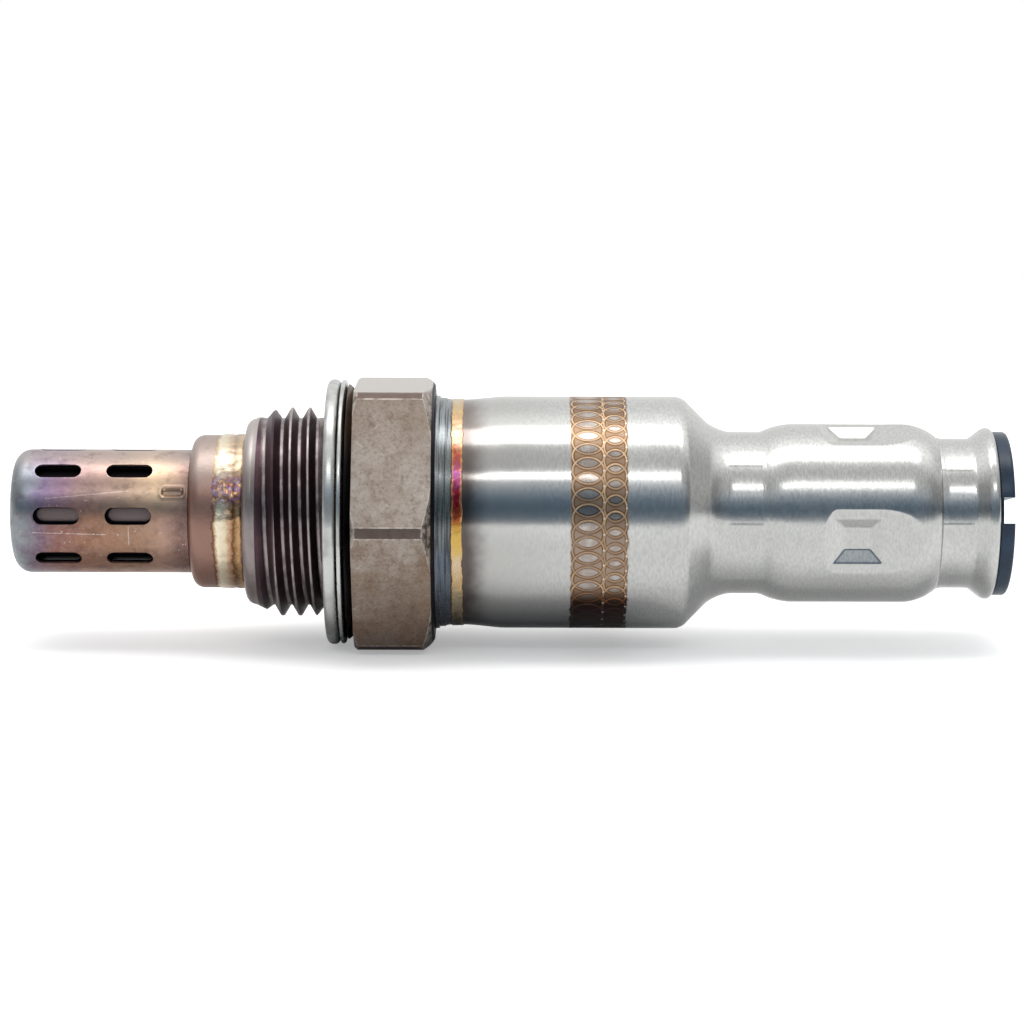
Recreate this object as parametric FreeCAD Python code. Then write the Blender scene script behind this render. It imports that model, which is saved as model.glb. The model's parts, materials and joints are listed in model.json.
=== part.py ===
import FreeCAD
import Part
import math
import os

# Oxygen sensor: a threaded steel body, a slotted protector at the front and a crimped steel case behind.
#
# The sensor's axis is X. Its closed tip points to -X and its terminal end to +X.
# X = 0 is the sealing plane: the front face of the gasket ring, which presses on the exhaust boss.
# One flat of the hexagon faces down. Sizes are in millimetres.
# An angle is measured round the axis in degrees, from -Y (0) up towards +Z (90).

# Body thread and seat
thread_diameter = 17.95
thread_length = 5.65
thread_relief_length = 1.85
thread_relief_diameter = 15.9
thread_end_chamfer = 0.7
pilot_diameter = 16.0
pilot_length = 1.2
pilot_round = 0.8
seat_collar_overhang = 0.1
seat_collar_rear_diameter = 20.9
seat_collar_length = 0.65

# Hexagon
hex_across_flats = 22.0
hex_corner_diameter = 24.9
hex_length = 6.8
hex_front_face_diameter = 23.5
hex_rear_face_diameter = 21.9
hex_chamfer_angle = 30.0

# Body behind the hexagon, where the case is welded on
rear_collar_front_diameter = 20.1
rear_collar_rear_diameter = 19.4
rear_collar_length = 1.45
spigot_length = 1.5
crimp_tube_diameter = 15.4
crimp_lip_round = 1.0
crimp_lip_thickness = 0.9
crimp_lip_inner_diameter = 10.9

# Body nose and bore
nose_length = 4.0
nose_bore_diameter = 7.4
seat_cone_front = 4.6
seat_cone_angle = 45.0
flange_bore_diameter = 9.9
packing_bore_diameter = 12.4
packing_bore_front = 0.8

# Weld beads
case_weld_width = 1.05
case_weld_height = 0.06

# Gasket ring, a strip folded into an S
gasket_overhang = 0.3
gasket_front_clearance = 0.2
gasket_inner_diameter = 16.7
gasket_sheet = 0.5
gasket_fold_gap = 0.1
gasket_seat_gap = 0.05

# Outer protector tube
tube_diameter = 10.6
tube_length = 15.4
tube_wall = 0.4
tube_end_round = 1.4
slot_length = 3.95
slot_width = 1.5
slot_count = 8
slot_first_angle = 3.6
slot_tip_distance = 2.23
slot_row_pitch = 6.08
slot_rows = 2
clinch_count = 3
clinch_length = 1.7
clinch_width = 1.1
clinch_depth = 0.18
clinch_edge = 0.15
clinch_from_rear = 0.5
clinch_angle = 27.5

# Inner protector: a skirt on the body's nose, and a narrow perforated cup
skirt_diameter = 13.15
skirt_length = 4.65
skirt_wall = 0.5
skirt_round = 0.95
collar_length = 2.7
cup_diameter = 8.7
cup_wall = 0.4
cup_taper_length = 0.7
cup_end_gap = 1.0
cup_end_round = 0.8
cup_hole_diameter = 1.2
cup_hole_count = 6
cup_hole_angle = 27.5
cup_hole_tip_distance = 7.1
cup_end_hole_diameter = 1.6

# Sensing element, a closed zirconia tube with a flange, and its heater
element_tip_diameter = 4.8
element_tip_gap = 1.2
element_root_diameter = 6.0
element_flange_diameter = 9.6
element_flange_length = 4.4
element_rear_diameter = 6.6
element_rear_length = 20.6
element_bore_diameter = 3.2
element_tip_wall = 0.9
seat_packing_thickness = 0.3
heater_diameter = 2.6
heater_tip_gap = 0.6
heater_rear_length = 5.0

# Sealing stack inside the body
talc_length = 5.0
sleeve_length = 5.1
crimp_ring_thickness = 0.9
crimp_ring_width = 0.9

# Case, one drawn and crimped tube
case_wall = 0.5
case_front_diameter = 19.4
case_front_length = 1.6
case_flare_length = 2.6
case_flare_round = 8.0
case_body_diameter = 19.94
case_body_length = 19.66
shoulder_angle = 45.0
shoulder_round = 1.35
shoulder_root_round = 3.3
front_neck_diameter = 13.96
front_neck_length = 3.82
neck_rise_angle = 25.6
neck_rise_root_round = 0.9
neck_rise_round = 5.5
barrel_diameter = 15.34
barrel_length = 12.03
barrel_fall_angle = 33.5
barrel_fall_round = 4.0
barrel_fall_root_round = 1.1
rear_neck_diameter = 12.88
rear_neck_length = 2.59
rim_angle = 37.7
rim_root_round = 0.5
rim_diameter = 14.75
rim_front_round = 0.88
rim_length = 0.95
rim_end_round = 0.45
crimp_jaw_count = 8
crimp_ridge_width = 0.22
crimp_ridge_height = 0.06
crimp_ridge_inset = 0.35
dimple_count = 4
dimple_first_angle = -11.0
dimple_from_barrel_front = 6.42
dimple_depth = 0.7
dimple_floor_length = 2.15
dimple_floor_width = 1.9
dimple_side_spread = 1.5

# Terminal end
insert_fit_gap = 0.03
insert_flange_diameter = 14.07
insert_flange_thickness = 1.0
insert_flange_round = 0.2
key_slot_width = 2.2
key_slot_depth = 0.8
key_slot_turn = 10.6
terminal_circle_diameter = 8.0
well_diameter = 2.3
well_depth = 8.0
pin_diameter = 1.2
pin_recess = 2.0
vent_diameter = 2.0

# Seal, separator and contacts inside the case
grommet_overlap = 0.4
grommet_length = 5.2
filter_tube_diameter = 3.0
filter_tube_wall = 0.4
filter_film_thickness = 0.15
separator_body_diameter = 12.4
separator_flange_diameter = 15.8
separator_flange_length = 2.5
separator_front_length = 4.5
separator_rear_gap = 0.2
separator_cavity_diameter = 9.8
separator_cavity_floor = 3.4
terminal_bore_diameter = 1.9
spring_sheet = 0.3
spring_sleeve_length = 3.6
spring_arm_count = 4
spring_arm_width = 3.0
spring_case_gap = 0.05
contact_sheet = 0.25
contact_grip_length = 4.0
contact_tail_diameter = 1.3
barrel_crimp_diameter = 1.8
barrel_crimp_length = 1.6
contact_lead_width = 1.2
contact_clearance = 0.6
running_gap = 0.03

# Stations along the axis, counted forward from the collar that the gasket ring presses on
seat_collar_front_diameter = hex_across_flats + 2 * seat_collar_overhang
gasket_outer_radius = seat_collar_front_diameter / 2 + gasket_overhang
gasket_rear_x = 3 * gasket_sheet + 2 * gasket_fold_gap
collar_x = gasket_rear_x + gasket_seat_gap
thread_rear_x = collar_x - thread_relief_length
thread_front_x = thread_rear_x - thread_length
pilot_front_x = thread_front_x - pilot_length
nose_front_x = pilot_front_x - nose_length
skirt_front_x = pilot_front_x - skirt_length
tube_rear_x = skirt_front_x - running_gap
tube_front_x = skirt_front_x - tube_length
cup_front_x = tube_front_x + tube_wall + cup_end_gap
element_tip_x = cup_front_x + cup_wall + element_tip_gap

# Stations along the axis, counted back from the same collar
hex_front_x = collar_x + seat_collar_length
hex_rear_x = hex_front_x + hex_length
case_front_x = hex_rear_x + rear_collar_length
spigot_rear_x = case_front_x + spigot_length
shoulder_x = case_front_x + case_body_length
shoulder_slope = math.tan(math.radians(shoulder_angle))
front_neck_x = shoulder_x + (case_body_diameter - front_neck_diameter) / 2 / shoulder_slope
rise_x = front_neck_x + front_neck_length
rise_slope = math.tan(math.radians(neck_rise_angle))
barrel_x = rise_x + (barrel_diameter - front_neck_diameter) / 2 / rise_slope
fall_x = barrel_x + barrel_length
fall_slope = math.tan(math.radians(barrel_fall_angle))
rear_neck_x = fall_x + (barrel_diameter - rear_neck_diameter) / 2 / fall_slope
rim_root_x = rear_neck_x + rear_neck_length
rim_slope = math.tan(math.radians(rim_angle))
rim_x = rim_root_x + (rim_diameter - rear_neck_diameter) / 2 / rim_slope
case_rear_x = rim_x + rim_length
insert_rear_x = case_rear_x + insert_flange_thickness

# Stations of the pieces inside the body
seat_cone_x = collar_x - seat_cone_front
seat_cone_slope = math.tan(math.radians(seat_cone_angle))
flange_bore_x = seat_cone_x + (flange_bore_diameter - nose_bore_diameter) / 2 / seat_cone_slope
packing_shift = seat_packing_thickness / math.sin(math.radians(seat_cone_angle))
element_flange_front_x = seat_cone_x + packing_shift
element_flange_rear_x = element_flange_front_x + element_flange_length
element_rear_x = element_flange_rear_x + element_rear_length
heater_rear_x = element_rear_x + heater_rear_length
talc_front_x = max(collar_x + packing_bore_front, element_flange_rear_x)
sleeve_front_x = talc_front_x + talc_length
crimp_ring_x = sleeve_front_x + sleeve_length
crimp_lip_x = crimp_ring_x + crimp_ring_thickness
body_rear_x = crimp_lip_x + crimp_lip_thickness

# Stations of the pieces inside the case
wall_along_shoulder = case_wall / math.sin(math.radians(shoulder_angle))
separator_flange_rear_x = (
    shoulder_x
    + (case_body_diameter - separator_flange_diameter) / 2 / shoulder_slope
    - wall_along_shoulder
    - running_gap
)
separator_flange_x = separator_flange_rear_x - separator_flange_length
separator_front_x = separator_flange_x - separator_front_length
grommet_front_x = front_neck_x + grommet_overlap
separator_rear_x = grommet_front_x - separator_rear_gap
cavity_floor_x = separator_rear_x - separator_cavity_floor
grommet_rear_x = grommet_front_x + grommet_length
insert_front_x = grommet_rear_x + running_gap
pin_rear_x = insert_rear_x - pin_recess
well_floor_x = insert_rear_x - well_depth
terminal_circle_radius = terminal_circle_diameter / 2

X_AXIS = FreeCAD.Vector(1, 0, 0)
ORIGIN = FreeCAD.Vector(0, 0, 0)
FULL_TURN = 360.0
TINY = 1e-6


def closed_outline(corners):
    """A closed wire in the XZ plane through corners of (x, distance from the axis, corner radius)."""
    points = [FreeCAD.Vector(x, 0, r) for x, r, _ in corners]
    arrivals = []
    departures = []
    arcs = []
    for i, (_, _, radius) in enumerate(corners):
        here = points[i]
        back = (points[i - 1] - here).normalize()
        ahead = (points[(i + 1) % len(points)] - here).normalize()
        if radius > 0:
            half_angle = back.getAngle(ahead) / 2
            cut = radius / math.tan(half_angle)
            arrival = here + back * cut
            departure = here + ahead * cut
            bisector = (back + ahead).normalize()
            middle = here + bisector * (radius / math.sin(half_angle) - radius)
            arcs.append(Part.Arc(arrival, middle, departure).toShape())
        else:
            arrival = here
            departure = here
            arcs.append(None)
        arrivals.append(arrival)
        departures.append(departure)
    edges = []
    for i, arc in enumerate(arcs):
        if arc is not None:
            edges.append(arc)
        start = departures[i]
        end = arrivals[(i + 1) % len(points)]
        if (end - start).Length > TINY:
            edges.append(Part.makeLine(start, end))
    return Part.Wire(edges)


def turned(corners):
    """A solid of revolution round the sensor's axis."""
    return Part.Face(closed_outline(corners)).revolve(ORIGIN, X_AXIS, FULL_TURN)


def inset(corners, distance):
    """An open outline moved by a distance towards the axis, with its corner radii following."""
    moved = []
    for i, (x, r, radius) in enumerate(corners):
        directions = []
        if i > 0:
            directions.append((x - corners[i - 1][0], r - corners[i - 1][1]))
        if i < len(corners) - 1:
            directions.append((corners[i + 1][0] - x, corners[i + 1][1] - r))
        normals = []
        for dx, dr in directions:
            length = math.hypot(dx, dr)
            normals.append((dr / length, -dx / length))
        nx = sum(n[0] for n in normals)
        nr = sum(n[1] for n in normals)
        scale = distance * len(normals) / (nx * nx + nr * nr)
        new_radius = radius
        if radius > 0 and len(directions) == 2:
            turn = directions[0][0] * directions[1][1] - directions[0][1] * directions[1][0]
            new_radius = radius + distance if turn > 0 else max(radius - distance, 0.0)
        moved.append((x + nx * scale, r + nr * scale, new_radius))
    return moved


def cylinder(start_x, end_x, diameter):
    """A cylinder on the sensor's axis."""
    return Part.makeCylinder(diameter / 2, end_x - start_x, FreeCAD.Vector(start_x, 0, 0), X_AXIS)


def tube(start_x, end_x, outer_diameter, inner_diameter):
    """A straight tube on the sensor's axis."""
    return cylinder(start_x, end_x, outer_diameter).cut(cylinder(start_x, end_x, inner_diameter))


def turned_to(shape, angle):
    """A copy of a shape that was made at angle 0, moved round the axis to the angle."""
    copy = shape.copy()
    copy.rotate(ORIGIN, X_AXIS, -angle)
    return copy


def ring_of(shape, count, first_angle):
    """Copies of a shape, evenly spaced round the axis."""
    return [turned_to(shape, first_angle + i * FULL_TURN / count) for i in range(count)]


def rod(start_x, end_x, diameter, circle_radius, angle):
    """A cylinder parallel to the axis, at a place on a circle round it."""
    base = FreeCAD.Vector(start_x, -circle_radius, 0)
    return turned_to(Part.makeCylinder(diameter / 2, end_x - start_x, base, X_AXIS), angle)


def block(start_x, end_x, near_radius, far_radius, width, angle):
    """A bar parallel to the axis, between two distances from it."""
    corner = FreeCAD.Vector(start_x, -far_radius, -width / 2)
    return turned_to(Part.makeBox(end_x - start_x, far_radius - near_radius, width, corner), angle)


def radial_slot(centre_x, length, width, near_radius, far_radius):
    """A cutter with round ends, long along the axis, that stands out from it at angle 0."""
    half = width / 2
    straight = length / 2 - half
    left = centre_x - straight
    right = centre_x + straight
    y = -far_radius
    top_left = FreeCAD.Vector(left, y, half)
    top_right = FreeCAD.Vector(right, y, half)
    bottom_left = FreeCAD.Vector(left, y, -half)
    bottom_right = FreeCAD.Vector(right, y, -half)
    outline = Part.Wire([
        Part.makeLine(top_left, top_right),
        Part.Arc(top_right, FreeCAD.Vector(right + half, y, 0), bottom_right).toShape(),
        Part.makeLine(bottom_right, bottom_left),
        Part.Arc(bottom_left, FreeCAD.Vector(left - half, y, 0), top_left).toShape(),
    ])
    return Part.Face(outline).extrude(FreeCAD.Vector(0, far_radius - near_radius, 0))


def radial_drill(x, diameter, near_radius, far_radius):
    """A round cutter that stands out from the axis at angle 0."""
    base = FreeCAD.Vector(x, -far_radius, 0)
    return Part.makeCylinder(diameter / 2, far_radius - near_radius, base, FreeCAD.Vector(0, 1, 0))


def punch(centre_x, floor_radius, floor_length, floor_width, spread, height):
    """A four-sided punch at angle 0: a flat floor with sides that spread as they rise."""
    wires = []
    for level in (0.0, height):
        half_length = floor_length / 2 + level * spread
        half_width = floor_width / 2 + level * spread
        y = -(floor_radius + level)
        wires.append(Part.makePolygon([
            FreeCAD.Vector(centre_x - half_length, y, -half_width),
            FreeCAD.Vector(centre_x + half_length, y, -half_width),
            FreeCAD.Vector(centre_x + half_length, y, half_width),
            FreeCAD.Vector(centre_x - half_length, y, half_width),
            FreeCAD.Vector(centre_x - half_length, y, -half_width),
        ]))
    return Part.makeLoft(wires, True, True)


# The terminals stand on one circle, turned with the key slot so that they stay clear of it.
def terminal_angle(index):
    """The angle of one of the four terminals."""
    return key_slot_turn - 45.0 - index * 90.0


def make_body():
    """The turned and threaded steel body, with its hexagon and the lip that is crimped over the seal."""
    spigot_radius = case_front_diameter / 2 - case_wall
    outside = turned([
        (nose_front_x, 0, 0),
        (nose_front_x, skirt_diameter / 2 - skirt_wall, 0),
        (pilot_front_x, skirt_diameter / 2 - skirt_wall, 0),
        (pilot_front_x, pilot_diameter / 2, pilot_round),
        (thread_front_x, pilot_diameter / 2, 0),
        (thread_front_x + thread_end_chamfer, thread_diameter / 2, 0),
        (thread_rear_x, thread_diameter / 2, 0),
        (thread_rear_x, thread_relief_diameter / 2, 0),
        (collar_x, thread_relief_diameter / 2, 0),
        (collar_x, seat_collar_front_diameter / 2, 0),
        (hex_front_x, seat_collar_rear_diameter / 2, 0),
        (hex_rear_x, rear_collar_front_diameter / 2, 0),
        (case_front_x, rear_collar_rear_diameter / 2, 0),
        (case_front_x, spigot_radius, 0),
        (spigot_rear_x, spigot_radius, 0),
        (spigot_rear_x, crimp_tube_diameter / 2, 0),
        (body_rear_x, crimp_tube_diameter / 2, crimp_lip_round),
        (body_rear_x, 0, 0),
    ])
    return outside.fuse(make_hexagon()).cut(make_bore()).removeSplitter()


def make_hexagon():
    """The hexagon, with its corners turned down and both ends chamfered."""
    corner_radius = hex_across_flats / 2 / math.cos(math.radians(30.0))
    points = []
    for i in range(7):
        angle = math.radians(i * 60.0)
        points.append(FreeCAD.Vector(
            hex_front_x, -corner_radius * math.cos(angle), corner_radius * math.sin(angle)
        ))
    prism = Part.Face(Part.makePolygon(points)).extrude(FreeCAD.Vector(hex_length, 0, 0))
    slope = math.tan(math.radians(hex_chamfer_angle))
    front_drop = (hex_corner_diameter - hex_front_face_diameter) / 2 * slope
    rear_drop = (hex_corner_diameter - hex_rear_face_diameter) / 2 * slope
    envelope = turned([
        (hex_front_x, 0, 0),
        (hex_front_x, hex_front_face_diameter / 2, 0),
        (hex_front_x + front_drop, hex_corner_diameter / 2, 0),
        (hex_rear_x - rear_drop, hex_corner_diameter / 2, 0),
        (hex_rear_x, hex_rear_face_diameter / 2, 0),
        (hex_rear_x, 0, 0),
    ])
    return prism.common(envelope)


def make_bore():
    """What the body's bore takes away: the nose, the cone that the element sits on, and the packing room."""
    lip_inner = crimp_lip_inner_diameter / 2
    return turned([
        (nose_front_x - 1.0, 0, 0),
        (nose_front_x - 1.0, nose_bore_diameter / 2, 0),
        (seat_cone_x, nose_bore_diameter / 2, 0),
        (flange_bore_x, flange_bore_diameter / 2, 0),
        (talc_front_x, flange_bore_diameter / 2, 0),
        (talc_front_x, packing_bore_diameter / 2, 0),
        (crimp_lip_x, packing_bore_diameter / 2, 0),
        (crimp_lip_x, lip_inner, 0),
        (body_rear_x + 1.0, lip_inner, 0),
        (body_rear_x + 1.0, 0, 0),
    ])


def make_gasket():
    """The folded gasket ring: a front layer, a fold at the rim, a middle layer, an inner fold and a rear layer.

    The front layer passes over the thread, and the inner fold behind it is captive in the relief.
    """
    outer = gasket_outer_radius
    inner = gasket_inner_diameter / 2
    front_inner = thread_diameter / 2 + gasket_front_clearance
    sheet = gasket_sheet
    fold_x = 2 * sheet + gasket_fold_gap
    fold_round = sheet * 0.95
    return turned([
        (0, front_inner, 0),
        (0, outer, fold_round),
        (fold_x, outer, fold_round),
        (fold_x, inner + sheet, 0),
        (fold_x + gasket_fold_gap, inner + sheet, 0),
        (fold_x + gasket_fold_gap, outer, 0),
        (gasket_rear_x, outer, 0),
        (gasket_rear_x, inner, fold_round),
        (sheet + gasket_fold_gap, inner, fold_round),
        (sheet + gasket_fold_gap, outer - sheet, 0),
        (sheet, outer - sheet, 0),
        (sheet, front_inner, 0),
    ])


def make_outer_protector():
    """The slotted tube with a closed end, clinched to the inner protector at its open end."""
    outer = tube_diameter / 2
    inner = outer - tube_wall
    shell = turned([
        (tube_front_x, 0, 0),
        (tube_front_x, outer, tube_end_round),
        (tube_rear_x, outer, 0),
        (tube_rear_x, inner, 0),
        (tube_front_x + tube_wall, inner, tube_end_round - tube_wall),
        (tube_front_x + tube_wall, 0, 0),
    ])
    cutters = []
    for row in range(slot_rows):
        centre_x = tube_front_x + slot_tip_distance + slot_length / 2 + row * slot_row_pitch
        slot = radial_slot(centre_x, slot_length, slot_width, inner - 1.0, outer + 1.0)
        cutters += ring_of(slot, slot_count, slot_first_angle)
    shell = shell.cut(Part.makeCompound(cutters))
    bumps = ring_of(clinch(inner - clinch_depth, inner + tube_wall / 2), clinch_count, clinch_angle)
    dents = ring_of(clinch(outer - clinch_depth, outer + 1.0, -clinch_edge), clinch_count, clinch_angle)
    return shell.fuse(bumps).cut(Part.makeCompound(dents))


def clinch(near_radius, far_radius, grow=0.0):
    """The block of one clinch mark at angle 0, grown on its four sides."""
    rear_x = tube_rear_x - clinch_from_rear + grow
    front_x = tube_rear_x - clinch_from_rear - clinch_length - grow
    return block(front_x, rear_x, near_radius, far_radius, clinch_width + 2 * grow, 0)


def make_inner_protector():
    """The stepped cup under the slotted tube. Its skirt is welded round the body's nose."""
    skirt = skirt_diameter / 2
    collar = tube_diameter / 2 - tube_wall - running_gap
    cup = cup_diameter / 2
    collar_front_x = skirt_front_x - collar_length
    taper_front_x = collar_front_x - cup_taper_length
    shell = turned([
        (cup_front_x, cup_end_hole_diameter / 2, 0),
        (cup_front_x, cup, cup_end_round),
        (taper_front_x, cup, 0),
        (collar_front_x, collar, 0),
        (skirt_front_x, collar, 0),
        (skirt_front_x, skirt, skirt_round),
        (pilot_front_x, skirt, 0),
        (pilot_front_x, skirt - skirt_wall, 0),
        (skirt_front_x + skirt_wall, skirt - skirt_wall, 0),
        (skirt_front_x + skirt_wall, collar - cup_wall, 0),
        (collar_front_x, collar - cup_wall, 0),
        (taper_front_x, cup - cup_wall, 0),
        (cup_front_x + cup_wall, cup - cup_wall, 0),
        (cup_front_x + cup_wall, cup_end_hole_diameter / 2, 0),
    ])
    hole = radial_drill(cup_front_x + cup_hole_tip_distance, cup_hole_diameter, cup - 2.0, cup + 1.0)
    dent = clinch(collar - clinch_depth, collar + 1.0, running_gap)
    cutters = ring_of(hole, cup_hole_count, cup_hole_angle) + ring_of(dent, clinch_count, clinch_angle)
    return shell.cut(Part.makeCompound(cutters))


def make_seat_packing():
    """The thin metal ring between the element's flange and the cone in the bore."""
    inner = nose_bore_diameter / 2
    outer = flange_bore_diameter / 2
    return turned([
        (seat_cone_x, inner, 0),
        (flange_bore_x, outer, 0),
        (flange_bore_x + packing_shift, outer, 0),
        (seat_cone_x + packing_shift, inner, 0),
    ])


def make_element():
    """The closed ceramic tube that senses: a tapered tip, a flange and a straight rear part."""
    tip = element_tip_diameter / 2
    root = element_root_diameter / 2
    flange = element_flange_diameter / 2
    rear = element_rear_diameter / 2
    nose = nose_bore_diameter / 2
    bore = element_bore_diameter / 2
    flange_face_x = element_flange_front_x + (flange - nose) / seat_cone_slope
    bore_tip_x = element_tip_x + element_tip_wall
    return turned([
        (element_tip_x, 0, 0),
        (element_tip_x, tip, tip * 0.9),
        (element_flange_front_x - nose + root, root, 0),
        (element_flange_front_x, nose, 0),
        (flange_face_x, flange, 0),
        (element_flange_rear_x, flange, 0),
        (element_flange_rear_x, rear, 0),
        (element_rear_x, rear, 0),
        (element_rear_x, bore, 0),
        (bore_tip_x, bore, bore * 0.8),
        (bore_tip_x, 0, 0),
    ])


def make_heater():
    """The ceramic heater rod inside the element."""
    front_x = element_tip_x + element_tip_wall + heater_tip_gap
    radius = heater_diameter / 2
    return turned([
        (front_x, 0, 0),
        (front_x, radius, radius * 0.5),
        (heater_rear_x, radius, 0),
        (heater_rear_x, 0, 0),
    ])


def make_crimp_ring():
    """The metal ring that the body's lip presses on the ceramic sleeve."""
    outer = packing_bore_diameter
    return tube(crimp_ring_x, crimp_lip_x, outer, outer - 2 * crimp_ring_width)


def case_outline():
    """The case's outside, from its welded front edge to its rolled rim."""
    front = case_front_diameter / 2
    body = case_body_diameter / 2
    barrel = barrel_diameter / 2
    front_neck = front_neck_diameter / 2
    rear_neck = rear_neck_diameter / 2
    straight_x = case_front_x + case_front_length
    return [
        (case_front_x, front, 0),
        (straight_x, front, case_flare_round),
        (straight_x + case_flare_length, body, 0),
        (shoulder_x, body, shoulder_round),
        (front_neck_x, front_neck, shoulder_root_round),
        (rise_x, front_neck, neck_rise_root_round),
        (barrel_x, barrel, neck_rise_round),
        (fall_x, barrel, barrel_fall_round),
        (rear_neck_x, rear_neck, barrel_fall_root_round),
        (rim_root_x, rear_neck, rim_root_round),
        (rim_x, rim_diameter / 2, rim_front_round),
        (case_rear_x, rim_diameter / 2, 0),
    ]


def make_case():
    """The drawn steel case: welded at the front, crimped at two necks and punched with four dimples."""
    outline = case_outline()
    outside = outline[:-1] + [(case_rear_x, rim_diameter / 2, rim_end_round)]
    inside = inset(outline, case_wall)
    shell = turned(outside + [(x, r, radius) for x, r, radius in reversed(inside)])
    floor_radius = barrel_diameter / 2 - dimple_depth
    centre_x = barrel_x + dimple_from_barrel_front
    side = case_wall * (math.hypot(1.0, dimple_side_spread) - dimple_side_spread)
    height = 2 * dimple_depth
    hollow = punch(centre_x, floor_radius, dimple_floor_length, dimple_floor_width, dimple_side_spread, height)
    backing = punch(
        centre_x,
        floor_radius - case_wall,
        dimple_floor_length + 2 * side,
        dimple_floor_width + 2 * side,
        dimple_side_spread,
        dimple_depth + case_wall / 2,
    )
    backings = ring_of(backing, dimple_count, dimple_first_angle)
    hollows = ring_of(hollow, dimple_count, dimple_first_angle)
    shell = shell.fuse(backings).cut(Part.makeCompound(hollows))
    return shell.fuse(crimp_ridges() + [case_weld()]).removeSplitter()


def case_room(start_x, end_x, gap):
    """The space inside the case between two stations, less a gap to its wall."""
    outline = inset(case_outline(), case_wall + gap)
    room = turned([(case_front_x, 0, 0)] + outline + [(case_rear_x, 0, 0)])
    return room.common(cylinder(start_x, end_x, 2 * case_body_diameter))


def crimp_ridges():
    """The fine ridges that the crimping jaws leave between them on both necks."""
    ridges = []
    necks = (
        (front_neck_x, rise_x, front_neck_diameter / 2),
        (rear_neck_x, rim_root_x, rear_neck_diameter / 2),
    )
    for front_x, rear_x, radius in necks:
        ridge = block(
            front_x + crimp_ridge_inset,
            rear_x - crimp_ridge_inset,
            radius - case_wall / 2,
            radius + crimp_ridge_height,
            crimp_ridge_width,
            0,
        )
        ridges += ring_of(ridge, crimp_jaw_count, 0)
    return ridges


def case_weld():
    """The bead of the weld that joins the case to the body, seen as a low ring on the case's front edge."""
    front = case_front_diameter / 2
    return turned([
        (case_front_x, front - case_wall / 2, 0),
        (case_front_x, front + case_weld_height, 0),
        (case_front_x + case_weld_width, front + case_weld_height, 0),
        (case_front_x + case_weld_width, front - case_wall / 2, 0),
    ])


def make_separator():
    """The ceramic separator: a cavity for the contacts in front, and four bores for their tails behind."""
    body = separator_body_diameter / 2
    flange = separator_flange_diameter / 2
    cavity = separator_cavity_diameter / 2
    vent = vent_diameter / 2
    bevel = (flange - body) / 2
    shape = turned([
        (separator_front_x, cavity, 0),
        (separator_front_x, body, 0),
        (separator_flange_x, body, 0),
        (separator_flange_x, flange, 0),
        (separator_flange_rear_x, flange, 0),
        (separator_flange_rear_x + bevel / shoulder_slope, flange - bevel, 0),
        (separator_flange_rear_x + bevel / shoulder_slope, body, 0),
        (separator_rear_x, body, 0),
        (separator_rear_x, vent, 0),
        (cavity_floor_x, vent, 0),
        (cavity_floor_x, cavity, 0),
    ])
    bore = rod(cavity_floor_x - 1.0, separator_rear_x + 1.0, terminal_bore_diameter, terminal_circle_radius, 0)
    return shape.cut(Part.makeCompound(ring_of(bore, 4, terminal_angle(0))))


def make_separator_spring():
    """The spring sleeve that holds the separator in the middle of the case, with four arms to the case wall."""
    inner = separator_body_diameter / 2 + running_gap
    outer = case_body_diameter / 2 - case_wall - spring_case_gap
    rear_x = separator_flange_x - running_gap
    front_x = rear_x - spring_sleeve_length
    sleeve = tube(front_x, rear_x, 2 * (inner + spring_sheet), 2 * inner)
    flare = turned([
        (front_x, inner + spring_sheet / 2, 0),
        (front_x, inner + spring_sheet, 0),
        (rear_x - 2 * spring_sheet, outer, 0),
        (rear_x - spring_sheet, outer, 0),
        (rear_x - spring_sheet, outer - spring_sheet, 0),
        (front_x + 2 * spring_sheet, inner + spring_sheet / 2, 0),
    ])
    bar = block(front_x - 1.0, rear_x + 1.0, inner, outer + 1.0, spring_arm_width, 0)
    arms = [flare.common(keep) for keep in ring_of(bar, spring_arm_count, 0)]
    return sleeve.fuse(arms).removeSplitter()


def contact_tail(front_x, angle):
    """The round tail of a contact, with the crimp barrel that takes its pin."""
    tail = rod(front_x, separator_rear_x - barrel_crimp_length, contact_tail_diameter, terminal_circle_radius, angle)
    crimp = rod(
        separator_rear_x - barrel_crimp_length,
        separator_rear_x,
        barrel_crimp_diameter,
        terminal_circle_radius,
        angle,
    )
    return tail.fuse(crimp)


def contact_grip(start_x, end_x, inner_radius, angle, opening):
    """A split sleeve that grips a round piece, open over an angle on the side away from its tail."""
    outer_radius = inner_radius + contact_sheet
    sleeve = tube(start_x, end_x, 2 * outer_radius, 2 * inner_radius)
    gap = block(start_x - 1.0, end_x + 1.0, 0, outer_radius + 1.0, opening, angle + 180.0)
    return sleeve.cut(gap)


def make_outer_contact():
    """The contact that grips the outside of the element's rear end."""
    angle = terminal_angle(0)
    inner = element_rear_diameter / 2 + running_gap
    start_x = element_rear_x - contact_grip_length
    grip = contact_grip(start_x, element_rear_x, inner, angle, contact_lead_width)
    far = inner + contact_sheet
    lead = block(element_rear_x - contact_sheet, cavity_floor_x, inner, far, contact_lead_width, angle)
    tail = contact_tail(cavity_floor_x - contact_lead_width, angle)
    return grip.fuse([lead, tail]).removeSplitter()


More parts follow.
